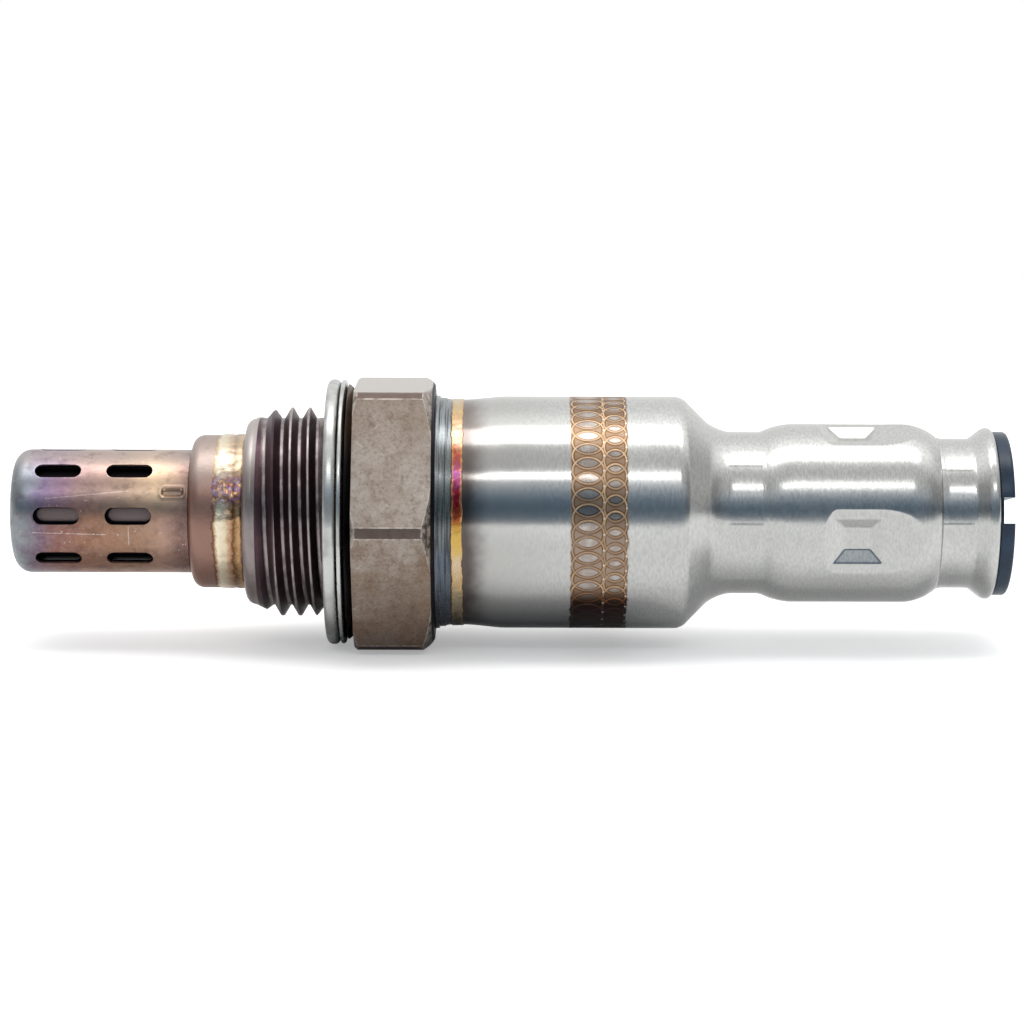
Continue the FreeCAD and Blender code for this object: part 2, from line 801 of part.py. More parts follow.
def make_inner_contact():
    """The contact that is pushed into the element's bore, round the heater rod."""
    angle = terminal_angle(2)
    outer = element_bore_diameter / 2 - running_gap
    inner = outer - contact_sheet
    start_x = element_rear_x - 2 * contact_grip_length
    lead_x = element_rear_x + contact_clearance
    sleeve = tube(start_x, lead_x, 2 * outer, 2 * inner)
    gap = block(start_x - 1.0, lead_x + 1.0, 0, outer + 1.0, contact_lead_width, angle + 180.0)
    lead = block(lead_x - contact_sheet, lead_x, inner, terminal_circle_radius, contact_lead_width, angle)
    riser_near = terminal_circle_radius - contact_sheet
    riser = block(lead_x - contact_sheet, cavity_floor_x, riser_near, terminal_circle_radius, contact_lead_width, angle)
    tail = contact_tail(cavity_floor_x - contact_lead_width, angle)
    return sleeve.cut(gap).fuse([lead, riser, tail]).removeSplitter()


def make_heater_contact(index):
    """One of the two spring contacts that press on the heater rod's pads."""
    angle = terminal_angle(index)
    inner = heater_diameter / 2 + running_gap
    start_x = heater_rear_x - contact_grip_length * 0.5
    sleeve = tube(start_x, heater_rear_x, 2 * (inner + contact_sheet), 2 * inner)
    keep = block(start_x, heater_rear_x, 0, inner + contact_sheet, 2 * inner * 0.8, angle)
    pad = sleeve.common(keep)
    lead_x = heater_rear_x - contact_sheet
    lead = block(lead_x, heater_rear_x, inner, terminal_circle_radius, contact_lead_width, angle)
    tail = contact_tail(lead_x, angle)
    return pad.fuse([lead, tail]).removeSplitter()


def make_grommet():
    """The rubber seal in the front neck, with bores for the four pins and for the vent."""
    shape = case_room(grommet_front_x, grommet_rear_x, running_gap)
    vent = cylinder(grommet_front_x - 1.0, grommet_rear_x + 1.0, filter_tube_diameter)
    pin = rod(grommet_front_x - 1.0, grommet_rear_x + 1.0, pin_diameter, terminal_circle_radius, 0)
    return shape.cut(Part.makeCompound([vent] + ring_of(pin, 4, terminal_angle(0))))


def make_filter_tube():
    """The metal tube that keeps the vent open through the seal."""
    inner_diameter = filter_tube_diameter - 2 * filter_tube_wall
    return tube(grommet_front_x, grommet_rear_x - filter_film_thickness, filter_tube_diameter, inner_diameter)


def make_filter_film():
    """The film over the vent, which lets air pass and keeps water out."""
    return cylinder(grommet_rear_x - filter_film_thickness, grommet_rear_x, filter_tube_diameter)


def make_insert():
    """The moulded insert that fills the case's rear and carries the pins in four wells."""
    flange = insert_flange_diameter / 2
    flange_shape = turned([
        (case_rear_x, 0, 0),
        (case_rear_x, flange, 0),
        (insert_rear_x, flange, insert_flange_round),
        (insert_rear_x, 0, 0),
    ])
    shape = case_room(insert_front_x, case_rear_x, insert_fit_gap).fuse(flange_shape)
    centre_x = barrel_x + dimple_from_barrel_front
    side = case_wall * (math.hypot(1.0, dimple_side_spread) - dimple_side_spread)
    pocket = punch(
        centre_x,
        barrel_diameter / 2 - dimple_depth - case_wall - insert_fit_gap,
        dimple_floor_length + 2 * (side + insert_fit_gap),
        dimple_floor_width + 2 * (side + insert_fit_gap),
        dimple_side_spread,
        2 * dimple_depth,
    )
    key_slot = block(
        insert_rear_x - key_slot_depth,
        insert_rear_x + 1.0,
        -insert_flange_diameter,
        insert_flange_diameter,
        key_slot_width,
        key_slot_turn,
    )
    well = rod(well_floor_x, insert_rear_x + 1.0, well_diameter, terminal_circle_radius, 0)
    pin = rod(insert_front_x - 1.0, insert_rear_x, pin_diameter, terminal_circle_radius, 0)
    vent = cylinder(insert_front_x - 1.0, insert_rear_x + 1.0, vent_diameter)
    cutters = ring_of(pocket, dimple_count, dimple_first_angle) + [key_slot, vent]
    cutters += ring_of(well, 4, terminal_angle(0)) + ring_of(pin, 4, terminal_angle(0))
    for cutter in cutters:
        shape = shape.cut(cutter)
    return shape


def make_pin(index):
    """One contact pin, from its crimp barrel to the well that it stands in."""
    radius = pin_diameter / 2
    shape = turned([
        (separator_rear_x, 0, 0),
        (separator_rear_x, radius, 0),
        (pin_rear_x - radius / 2, radius, 0),
        (pin_rear_x, radius / 2, 0),
        (pin_rear_x, 0, 0),
    ])
    shape.translate(FreeCAD.Vector(0, -terminal_circle_radius, 0))
    return turned_to(shape, terminal_angle(index))


def build_parts():
    """Every piece of the sensor, from tip to terminal end, by its name."""
    element_rear = element_rear_diameter + 2 * running_gap
    return {
        "outer_protector": make_outer_protector(),
        "inner_protector": make_inner_protector(),
        "metal_body": make_body(),
        "gasket_ring": make_gasket(),
        "seat_packing": make_seat_packing(),
        "sensing_element": make_element(),
        "heater_rod": make_heater(),
        "talc_seal": tube(talc_front_x, sleeve_front_x, packing_bore_diameter, element_rear),
        "ceramic_sleeve": tube(sleeve_front_x, crimp_ring_x, packing_bore_diameter, element_rear),
        "crimp_ring": make_crimp_ring(),
        "outer_contact": make_outer_contact(),
        "inner_contact": make_inner_contact(),
        "heater_contact_left": make_heater_contact(1),
        "heater_contact_right": make_heater_contact(3),
        "ceramic_separator": make_separator(),
        "separator_spring": make_separator_spring(),
        "rubber_grommet": make_grommet(),
        "filter_tube": make_filter_tube(),
        "filter_film": make_filter_film(),
        "ground_pin": make_pin(0),
        "heater_pin_left": make_pin(1),
        "signal_pin": make_pin(2),
        "heater_pin_right": make_pin(3),
        "terminal_insert": make_insert(),
        "outer_case": make_case(),
    }


def main():
    """Builds every piece and writes each to its own file."""
    os.makedirs("parts", exist_ok=True)
    for name, shape in build_parts().items():
        shape.exportStep("parts/" + name + ".step")
        box = shape.BoundBox
        print(f"{name}: {len(shape.Solids)} solid, valid {shape.isValid()}, volume {shape.Volume:.2f} mm3, "
              f"x {box.XMin:.2f} to {box.XMax:.2f}, radius {box.ZMax:.2f}")


main()
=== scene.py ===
"""The look of an oxygen sensor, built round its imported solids.

The sensor lies along X: its slotted, heat-tinted tip points to -X and its dark terminal insert to +X. Sizes are
written in millimetres and scaled to metres when a mesh is finished. An angle is measured round the axis in degrees,
from -Y (0), where the camera stands, up towards +Z (90).
"""
import json
import logging
import math
from abc import ABC, abstractmethod
from collections.abc import Callable, Iterable, Sequence
from dataclasses import dataclass, field
from enum import Enum

import bmesh
import bpy
from mathutils import Matrix, Vector, noise


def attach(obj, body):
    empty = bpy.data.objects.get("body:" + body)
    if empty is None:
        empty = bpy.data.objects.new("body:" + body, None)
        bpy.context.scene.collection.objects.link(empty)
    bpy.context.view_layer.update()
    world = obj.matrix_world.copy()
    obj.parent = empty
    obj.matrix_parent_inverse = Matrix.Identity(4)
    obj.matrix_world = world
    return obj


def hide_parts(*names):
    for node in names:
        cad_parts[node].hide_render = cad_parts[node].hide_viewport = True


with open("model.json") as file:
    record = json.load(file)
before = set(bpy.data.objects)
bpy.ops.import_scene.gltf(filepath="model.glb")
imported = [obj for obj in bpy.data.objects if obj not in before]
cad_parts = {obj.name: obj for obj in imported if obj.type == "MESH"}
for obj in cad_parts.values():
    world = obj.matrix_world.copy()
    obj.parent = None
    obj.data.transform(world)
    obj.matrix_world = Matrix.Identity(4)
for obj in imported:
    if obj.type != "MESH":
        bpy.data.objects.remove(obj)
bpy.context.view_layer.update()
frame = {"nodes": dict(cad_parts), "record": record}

MM = 0.001
BODY = "root"
FULL_TURN = 360.0
PHOTO_WIDTH = 1024
HEX_CHAMFER = 30.0

Colour = tuple[float, float, float]
Socket = bpy.types.NodeSocket
Input = float | Sequence[float] | bpy.types.NodeSocket

log = logging.getLogger("oxygen_sensor")


class Cut(Enum):
    """Ways of cutting one solid with another."""

    AWAY = "DIFFERENCE"
    KEEP = "INTERSECT"


# Mesh tools


@dataclass(frozen=True)
class Corner:
    """One corner of a turned outline: its station, its distance from the axis and its fillet."""

    x: float
    r: float
    fillet: float = 0.0
    segments: int = 6


@dataclass(frozen=True)
class Fineness:
    """How far apart an outline's points may be between two stations."""

    start: float
    end: float
    step: float


def place(x: float, radius: float, angle: float) -> Vector:
    """A point at a station, a distance from the axis and an angle round it."""
    turn = math.radians(angle)
    return Vector((x, -radius * math.cos(turn), radius * math.sin(turn)))


def angle_of(point: Vector) -> float:
    """A point's angle round the axis, in degrees."""
    return math.degrees(math.atan2(point.z, -point.y))


def radius_of(point: Vector) -> float:
    """A point's distance from the axis."""
    return math.hypot(point.y, point.z)


def off_nearest(point: Vector, count: int, first_angle: float) -> float:
    """How far round the axis a point is from the nearest of some evenly spaced marks.

    Args:
        point: the point.
        count: how many marks there are.
        first_angle: where one of them is.

    Returns:
        The angle between them, in degrees.
    """
    step = FULL_TURN / count
    return (angle_of(point) - first_angle + step / 2) % step - step / 2


def set_radius(point: Vector, radius: float) -> None:
    """Moves a point straight out from the axis, or in.

    Args:
        point: the point to move.
        radius: how far from the axis it goes.
    """
    scale = radius / max(radius_of(point), 1e-6)
    point.y *= scale
    point.z *= scale


def smooth_step(value: float, low: float, high: float) -> float:
    """0 below low, 1 above high, and a smooth rise between them."""
    t = min(max((value - low) / (high - low), 0.0), 1.0)
    return t * t * (3.0 - 2.0 * t)


def smooth_min(first: float, second: float, blend: float) -> float:
    """The lower of two heights, with their meeting rounded over a small blend."""
    h = max(blend - abs(first - second), 0.0) / blend
    return min(first, second) - h * h * blend / 4.0


def draw_outline(bm: bmesh.types.BMesh, corners: Sequence[Corner], closed: bool = True) -> None:
    """Draws a turned outline as a wire in the XZ plane and rounds its corners.

    Args:
        bm: the mesh that takes the wire.
        corners: the outline's corners in order.
        closed: whether the last corner joins the first.
    """
    points = [bm.verts.new((c.x, 0.0, c.r)) for c in corners]
    pairs = list(zip(points, points[1:]))
    if closed:
        pairs.append((points[-1], points[0]))
    for first, second in pairs:
        bm.edges.new((first, second))
    for corner, point in zip(corners, points):
        if corner.fillet <= 0:
            continue
        arms = [e.other_vert(point).co - point.co for e in point.link_edges]
        half_angle = arms[0].angle(arms[1]) / 2
        bmesh.ops.bevel(
            bm, geom=[point], offset=corner.fillet / math.tan(half_angle), offset_type="OFFSET",
            segments=corner.segments, profile=0.5, affect="VERTICES", material=-1, clamp_overlap=False,
        )


def refine_outline(bm: bmesh.types.BMesh, rules: Iterable[Fineness], above: Callable[[Vector], bool]) -> None:
    """Divides an outline's longer edges where a rule asks for it.

    Args:
        bm: the mesh that holds the wire.
        rules: the stations to refine, and how finely.
        above: says whether an edge's middle is on the part of the outline to refine.
    """
    for rule in rules:
        for edge in list(bm.edges):
            middle = (edge.verts[0].co + edge.verts[1].co) / 2
            if rule.start <= middle.x <= rule.end and above(middle) and edge.calc_length() > rule.step:
                cuts = math.ceil(edge.calc_length() / rule.step) - 1
                bmesh.ops.subdivide_edges(bm, edges=[edge], cuts=cuts)


def cut_at(
    bm: bmesh.types.BMesh, stations: Iterable[float], above: Callable[[Vector], bool] = lambda middle: True,
) -> None:
    """Puts a point on a wire wherever it crosses one of the stations.

    Args:
        bm: the mesh that holds the wire.
        stations: where to put the points.
        above: says whether an edge's middle is on the part of the wire to divide.
    """
    for x in stations:
        edges = [edge for edge in bm.edges if above((edge.verts[0].co + edge.verts[1].co) / 2)]
        geometry = edges + list({vert for edge in edges for vert in edge.verts})
        bmesh.ops.bisect_plane(bm, geom=geometry, dist=1e-5, plane_co=(x, 0, 0), plane_no=(1, 0, 0))


def spin_outline(bm: bmesh.types.BMesh, steps: int) -> None:
    """Turns a wire once round the axis, and points its faces outwards.

    Args:
        bm: the mesh that holds the wire.
        steps: how many faces go round the axis.
    """
    bmesh.ops.spin(
        bm, geom=bm.verts[:] + bm.edges[:], cent=(0, 0, 0), axis=(1, 0, 0), dvec=(0, 0, 0),
        angle=math.radians(FULL_TURN), steps=steps, use_merge=True, use_normal_flip=False, use_duplicate=False,
    )
    bmesh.ops.remove_doubles(bm, verts=bm.verts[:], dist=1e-4)
    bmesh.ops.recalc_face_normals(bm, faces=bm.faces[:])


def turned(corners: Sequence[Corner], steps: int, rules: Iterable[Fineness] = ()) -> bmesh.types.BMesh:
    """A solid turned from an outline.

    Args:
        corners: the closed outline's corners.
        steps: how many faces go round the axis.
        rules: where the outline is refined.

    Returns:
        The mesh, in millimetres.
    """
    bm = bmesh.new()
    draw_outline(bm, corners)
    refine_outline(bm, rules, lambda middle: True)
    spin_outline(bm, steps)
    return bm


def add_object(name: str, data: bpy.types.ID) -> bpy.types.Object:
    """Makes an object of some data and puts it in the scene.

    Args:
        name: the object's name.
        data: its mesh, lamp or camera.

    Returns:
        The object.
    """
    item = bpy.data.objects.new(name, data)
    bpy.context.scene.collection.objects.link(item)
    return item


def whole(bm: bmesh.types.BMesh) -> list[bmesh.types.BMVert | bmesh.types.BMEdge | bmesh.types.BMFace]:
    """Everything that a mesh is made of."""
    return bm.verts[:] + bm.edges[:] + bm.faces[:]


def to_mesh(bm: bmesh.types.BMesh, name: str) -> bpy.types.Mesh:
    """Writes a bmesh to a new mesh.

    Args:
        bm: the bmesh. It is freed.
        name: the new mesh's name.

    Returns:
        The new mesh.
    """
    mesh = bpy.data.meshes.new(name)
    bm.to_mesh(mesh)
    bm.free()
    return mesh


def carve(bm: bmesh.types.BMesh, tool: bmesh.types.BMesh, cut: Cut) -> bmesh.types.BMesh:
    """Cuts one solid with another.

    Args:
        bm: the solid to cut. It is freed.
        tool: the solid to cut it with. It is freed.
        cut: what stays.

    Returns:
        The cut solid.
    """
    blank = add_object("blank", to_mesh(bm, "blank"))
    cutter = add_object("cutter", to_mesh(tool, "cutter"))
    modifier = blank.modifiers.new("cut", "BOOLEAN")
    modifier.operation = cut.value
    modifier.solver = "EXACT"
    modifier.object = cutter
    graph = bpy.context.evaluated_depsgraph_get()
    result = bmesh.new()
    result.from_object(blank, graph)
    for item in (blank, cutter):
        mesh = item.data
        bpy.data.objects.remove(item)
        bpy.data.meshes.remove(mesh)
    bmesh.ops.remove_doubles(result, verts=result.verts[:], dist=1e-4)
    return result


def soften(bm: bmesh.types.BMesh, edges: Sequence[bmesh.types.BMEdge], width: float, segments: int = 2) -> None:
    """Rounds some edges.

    Args:
        bm: the mesh.
        edges: the edges to round.
        width: how far from each edge the rounding starts.
        segments: how many faces go over it.
    """
    bmesh.ops.bevel(
        bm, geom=list(edges), offset=width, offset_type="OFFSET", segments=segments, profile=0.5,
        affect="EDGES", material=-1, clamp_overlap=True,
    )


def sharp_edges(bm: bmesh.types.BMesh, angle: float, where: Callable[[Vector], bool]) -> list[bmesh.types.BMEdge]:
    """Finds a mesh's sharp edges.

    Args:
        bm: the mesh.
        angle: how sharp an edge has to be, in degrees.
        where: says whether an edge's middle is where edges are wanted.

    Returns:
        The edges.
    """
    limit = math.radians(angle)
    return [
        e for e in bm.edges
        if len(e.link_faces) == 2 and e.calc_face_angle(0.0) > limit
        and where((e.verts[0].co + e.verts[1].co) / 2)
    ]


def rotate(bm: bmesh.types.BMesh, verts: Sequence[bmesh.types.BMVert], angle: float, axis: str) -> None:
    """Turns some of a mesh's points by degrees round "X", "Y" or "Z"."""
    bmesh.ops.rotate(bm, verts=verts, cent=(0, 0, 0), matrix=Matrix.Rotation(math.radians(angle), 3, axis))


def add_rod(
    bm: bmesh.types.BMesh, radius: float, length: float, sides: int, quarter_turn: str, middle: Sequence[float],
) -> None:
    """Adds a straight rod with closed ends to a mesh.

    Args:
        bm: the mesh.
        radius: the rod's radius, to its corners.
        length: how long it is.
        sides: how many faces go round it.
        quarter_turn: "X" for a rod along Y, "Y" for a rod along X.
        middle: where its middle goes.
    """
    rod = bmesh.ops.create_cone(
        bm, cap_ends=True, cap_tris=False, segments=sides, radius1=radius, radius2=radius, depth=length,
    )["verts"]
    rotate(bm, rod, 90, quarter_turn)
    bmesh.ops.translate(bm, verts=rod, vec=middle)


def ring_of(bm: bmesh.types.BMesh, count: int, first_angle: float) -> None:
    """Repeats what a mesh holds, drawn at angle 0, evenly round the axis.

    Args:
        bm: the mesh to repeat.
        count: how many there are in the end.
        first_angle: where the first goes.
    """
    axis = Vector((1, 0, 0))
    start = Matrix.Rotation(-math.radians(first_angle), 3, axis)
    bmesh.ops.rotate(bm, verts=bm.verts[:], cent=(0, 0, 0), matrix=start)
    if count > 1:
        bmesh.ops.spin(
            bm, geom=whole(bm), cent=(0, 0, 0), axis=axis, dvec=(0, 0, 0),
            angle=math.radians(FULL_TURN) * (count - 1) / count, steps=count - 1,
            use_merge=False, use_normal_flip=False, use_duplicate=True,
        )


def finish_piece(bm: bmesh.types.BMesh, name: str, crease: float = 32.0) -> bpy.types.Object:
    """Makes an object of a mesh in millimetres, shaded smooth up to a crease angle, riding on the sensor.

    Args:
        bm: the mesh. It is freed.
        name: the piece's name.
        crease: edges sharper than this many degrees stay crisp.

    Returns:
        The piece, at the origin and in metres.
    """
    bmesh.ops.scale(bm, verts=bm.verts[:], vec=(MM, MM, MM))
    for face in bm.faces:
        face.smooth = True
    mesh = to_mesh(bm, name)
    mesh.set_sharp_from_angle(angle=math.radians(crease))
    piece = add_object(name, mesh)
    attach(piece, BODY)
    return piece


# Shader tools


@dataclass(frozen=True)
class Layer:
    """A tint that comes in smoothly as a value goes from low to high, between two shares of the tint."""

    value: Socket
    low: float
    high: float
    share_low: float
    share_high: float
    tint: Input


class Nodes:
    """Builds the nodes of a tree."""

    def __init__(self, tree: bpy.types.NodeTree) -> None:
        """Starts on a tree, a material's or the world's."""
        self.tree = tree

    def feed(self, socket: Socket, value: Input) -> None:
        """Links a socket to another, or sets its own value.

        Args:
            socket: the socket that takes the value.
            value: a socket or a constant.
        """
        if isinstance(value, bpy.types.NodeSocket):
            self.tree.links.new(value, socket)
        else:
            socket.default_value = value

    def math(self, operation: str, *inputs: Input, clamp: bool = False) -> Socket:
        """One step of arithmetic.

        Args:
            operation: Blender's name for it.
            inputs: its inputs in order.
            clamp: whether the result is kept between 0 and 1.

        Returns:
            The result.
        """
        node = self.tree.nodes.new("ShaderNodeMath")
        node.operation = operation
        node.use_clamp = clamp
        for socket, value in zip(node.inputs, inputs):
            self.feed(socket, value)
        return node.outputs[0]

    def times(self, first: Input, second: Input) -> Socket:
        """Two values multiplied."""
        return self.math("MULTIPLY", first, second)

    def plus(self, first: Input, second: Input) -> Socket:
        """Two values added."""
        return self.math("ADD", first, second)

    def minus(self, first: Input, second: Input) -> Socket:
        """A value less another."""
        return self.math("SUBTRACT", first, second)

    def length(self, first: Input, second: Input) -> Socket:
        """The length of a line, of how far it goes in two directions at right angles."""
        return self.math("SQRT", self.plus(self.times(first, first), self.times(second, second)))

    def mix(self, factor: Input, first: Input, second: Input) -> Socket:
        """Lays a second colour over a first.

        Args:
            factor: how much of the second shows, from 0 to 1.
            first: the colour below, a socket or three numbers.
            second: the colour on top.

        Returns:
            The mixed colour.
        """
        node = self.tree.nodes.new("ShaderNodeMix")
        node.data_type = "RGBA"
        node.clamp_factor = True
        for socket, value in zip((node.inputs[0], node.inputs[6], node.inputs[7]), (factor, first, second)):
            is_colour = not isinstance(value, (bpy.types.NodeSocket, float, int))
            self.feed(socket, (*value, 1.0) if is_colour else value)
        return node.outputs[2]

    def tinted(self, colour: Input, *layers: Layer) -> Socket:
        """Lays tints over a colour, one after another.

        Args:
            colour: the colour below them.
            layers: the tints in order.

        Returns:
            The tinted colour.
        """
        for layer in layers:
            share = self.spread(layer.value, layer.low, layer.high, layer.share_low, layer.share_high)
            colour = self.mix(share, colour, layer.tint)
        return colour

    def ramp(self, factor: Input, stops: Sequence[tuple[float, Colour]]) -> Socket:
        """A colour that goes through stops as a factor goes from 0 to 1.

        Args:
            factor: the factor.
            stops: where each colour stands, and the colour.

        Returns:
            The colour.
        """
        node = self.tree.nodes.new("ShaderNodeValToRGB")
        elements = node.color_ramp.elements
        while len(elements) < len(stops):
            elements.new(0.5)
        for element, (position, colour) in zip(elements, stops):
            element.position = position
            element.color = (*colour, 1.0)
        self.feed(node.inputs[0], factor)
        return node.outputs[0]

    def spread(self, value: Input, low: float, high: float, to_low: float = 0.0, to_high: float = 1.0) -> Socket:
        """Carries a value smoothly from one range to another, and holds it at the ends.

        Args:
            value: the value.
            low: where the first range starts, which may be above its end.
            high: where it ends.
            to_low: what the start becomes.
            to_high: what the end becomes.

        Returns:
            The carried value.
        """
        node = self.tree.nodes.new("ShaderNodeMapRange")
        node.interpolation_type = "SMOOTHSTEP"
        for socket, item in zip(node.inputs, (value, low, high, to_low, to_high)):
            self.feed(socket, item)
        return node.outputs[0]

    def scale(self, value: Input, stops: Sequence[tuple[float, Colour]]) -> Socket:
        """A colour that goes through stops written in the value's own unit.

        Args:
            value: the value.
            stops: where each colour stands, and the colour.

        Returns:
            The colour.
        """
        low, high = stops[0][0], stops[-1][0]
        node = self.tree.nodes.new("ShaderNodeMapRange")
        for socket, item in zip(node.inputs, (value, low, high, 0.0, 1.0)):
            self.feed(socket, item)
        return self.ramp(node.outputs[0], [((at - low) / (high - low), colour) for at, colour in stops])

    def band(self, value: Input, low: float, high: float, soft: float) -> Socket:
        """1 between two limits and 0 beyond them.

        Args:
            value: the value to compare.
            low: the lower limit.
            high: the upper limit.
            soft: how far the change reaches to each side of a limit.

        Returns:
            The mask.
        """
        rise = self.spread(value, low - soft, low + soft)
        fall = self.spread(value, high - soft, high + soft, 1.0, 0.0)
        return self.times(rise, fall)

    def noise(self, vector: Input, scale: float, detail: float = 3.0, roughness: float = 0.55) -> Socket:
        """Noise between 0 and 1.

        Args:
            vector: where it is read.
            scale: how fine it is.
            detail: how many finer layers it has.
            roughness: how strong they are.

        Returns:
            The noise.
        """
        node = self.tree.nodes.new("ShaderNodeTexNoise")
        for name, value in (("Vector", vector), ("Scale", scale), ("Detail", detail), ("Roughness", roughness)):
            self.feed(node.inputs[name], value)
        return node.outputs["Fac"]

    def vector(self, x: Input, y: Input, z: Input) -> Socket:
        """A vector from three numbers.

        Args:
            x: its first number.
            y: its second number.
            z: its third number.

        Returns:
            The vector.
        """
        node = self.tree.nodes.new("ShaderNodeCombineXYZ")
        for socket, value in zip(node.inputs, (x, y, z)):
            self.feed(socket, value)
        return node.outputs[0]


class Graph(Nodes):
    """Builds one material's nodes."""

    def __init__(self, name: str) -> None:
        """Starts a material whose shader is a plain Principled one.

        Args:
            name: the material's name.
        """
        self.material = bpy.data.materials.new(name)
        self.material.use_nodes = True
        super().__init__(self.material.node_tree)
        self.shader = self.tree.nodes["Principled BSDF"]
        self._place: dict[str, Socket] = {}

    def stretched(self, along: float, across: float) -> Socket:
        """Object coordinates in millimetres, scaled for marks that run one way.

        Args:
            along: the scale along the axis.
            across: the scale across it.

        Returns:
            The scaled coordinates.
        """
        return self.vector(
            self.times(self.place("x"), along),
            self.times(self.place("y"), across),
            self.times(self.place("z"), across),
        )

    def grain(self, along: float, across: float, detail: float, roughness: float = 0.55) -> Socket:
        """Noise between 0 and 1 over the piece, as fine along the axis and across it as is asked for."""
        return self.noise(self.stretched(along, across), 1.0, detail, roughness)

    def off_nearest(self, count: int, first_angle: float, arc: float) -> Socket:
        """How far round the axis the shaded point is from the nearest of some evenly spaced marks.

        Args:
            count: how many marks there are.
            first_angle: where one of them is.
            arc: how far it is from one to the next, in the unit of the answer.

        Returns:
            The distance, less than 0 below the mark.
        """
        turn = self.math("DIVIDE", self.minus(self.place("angle"), first_angle), FULL_TURN / count)
        return self.times(self.minus(turn, self.math("ROUND", turn)), arc)

    def place(self, name: str) -> Socket:
        """Where the shaded point is, in millimetres and degrees.

        Args:
            name: "x", "y" or "z", "r" for the distance from the axis, "angle" round it, or "rise", the angle's
                sine, which runs from -1 underneath to 1 on top.

        Returns:
            The socket that holds it.
        """
        if not self._place:
            coordinates = self.tree.nodes.new("ShaderNodeTexCoord")
            split = self.tree.nodes.new("ShaderNodeSeparateXYZ")
            self.feed(split.inputs[0], coordinates.outputs["Object"])
            for axis, output in zip("xyz", split.outputs):
                self._place[axis] = self.math("DIVIDE", output, MM)
            y, z = self._place["y"], self._place["z"]
            self._place["r"] = self.length(y, z)
            self._place["rise"] = self.math("DIVIDE", z, self.math("MAXIMUM", self._place["r"], 1e-4))
            turn = self.math("ARCTAN2", z, self.times(y, -1.0))
            self._place["angle"] = self.times(turn, math.degrees(1.0))
        return self._place[name]

    def scratch(self, radius: float, start: tuple[float, float], end: tuple[float, float], width: float) -> Socket:
        """A mask of one straight scratch.

        Args:
            radius: the radius of the scratched wall.
            start: the scratch's first station and angle.
            end: its last station and angle.
            width: how wide it is.

        Returns:
            The mask.
        """
        arc = math.radians(1.0) * radius
        reach = (end[0] - start[0], (end[1] - start[1]) * arc)
        length_squared = reach[0] ** 2 + reach[1] ** 2
        along = self.minus(self.place("x"), start[0])
        across = self.minus(self.times(self.place("angle"), arc), start[1] * arc)
        dot = self.plus(self.times(along, reach[0]), self.times(across, reach[1]))
        share = self.math("DIVIDE", dot, length_squared, clamp=True)
        off_along = self.minus(along, self.times(share, reach[0]))
        off_across = self.minus(across, self.times(share, reach[1]))
        return self.spread(self.length(off_along, off_across), width * 0.3, width, 1.0, 0.0)

    def bump(self, height: Socket, depth: float, strength: float = 1.0) -> None:
        """Raises the surface in its shading.

        Args:
            height: the height, from 0 to 1.
            depth: how many millimetres 1 stands for.
            strength: how much of the bump shows.
        """
        node = self.tree.nodes.new("ShaderNodeBump")
        for name, value in (("Height", height), ("Distance", depth * MM), ("Strength", strength)):
            self.feed(node.inputs[name], value)
        self.feed(self.shader.inputs["Normal"], node.outputs[0])

    def dress(self, colour: Input, roughness: Input, metallic: Input) -> bpy.types.Material:
        """Sets the shader's main inputs.

        Args:
            colour: the base colour.
            roughness: the roughness.
            metallic: how much of a metal it is.

        Returns:
            The material.
        """
        is_colour = not isinstance(colour, bpy.types.NodeSocket)
        self.feed(self.shader.inputs["Base Color"], (*colour, 1.0) if is_colour else colour)
        self.feed(self.shader.inputs["Roughness"], roughness)
        self.feed(self.shader.inputs["Metallic"], metallic)
        return self.material


# Finishes


@dataclass(frozen=True)
class Finish(ABC):
    """A surface finish of the sensor."""

    name: str

    @abstractmethod
    def material(self) -> bpy.types.Material:
        """Builds the finish's material."""


@dataclass(frozen=True)
class GrainedFinish(Finish):
    """An even finish with a fine grain, for the pieces that hardly show."""

    colour: Colour
    shade: Colour
    roughness: float
    metallic: float = 0.0
    grain: float = 3.0
    depth: float = 0.01

    def material(self) -> bpy.types.Material:
        """Builds the grain.

        Returns:
            The material.
        """
        g = Graph(self.name)
        grain = g.noise(g.stretched(1.0, 1.0), self.grain)
        colour = g.mix(grain, self.shade, self.colour)
        g.bump(grain, self.depth)
        roughness = g.spread(grain, 0.3, 0.7, self.roughness - 0.06, self.roughness + 0.06)
        return g.dress(colour, roughness, self.metallic)


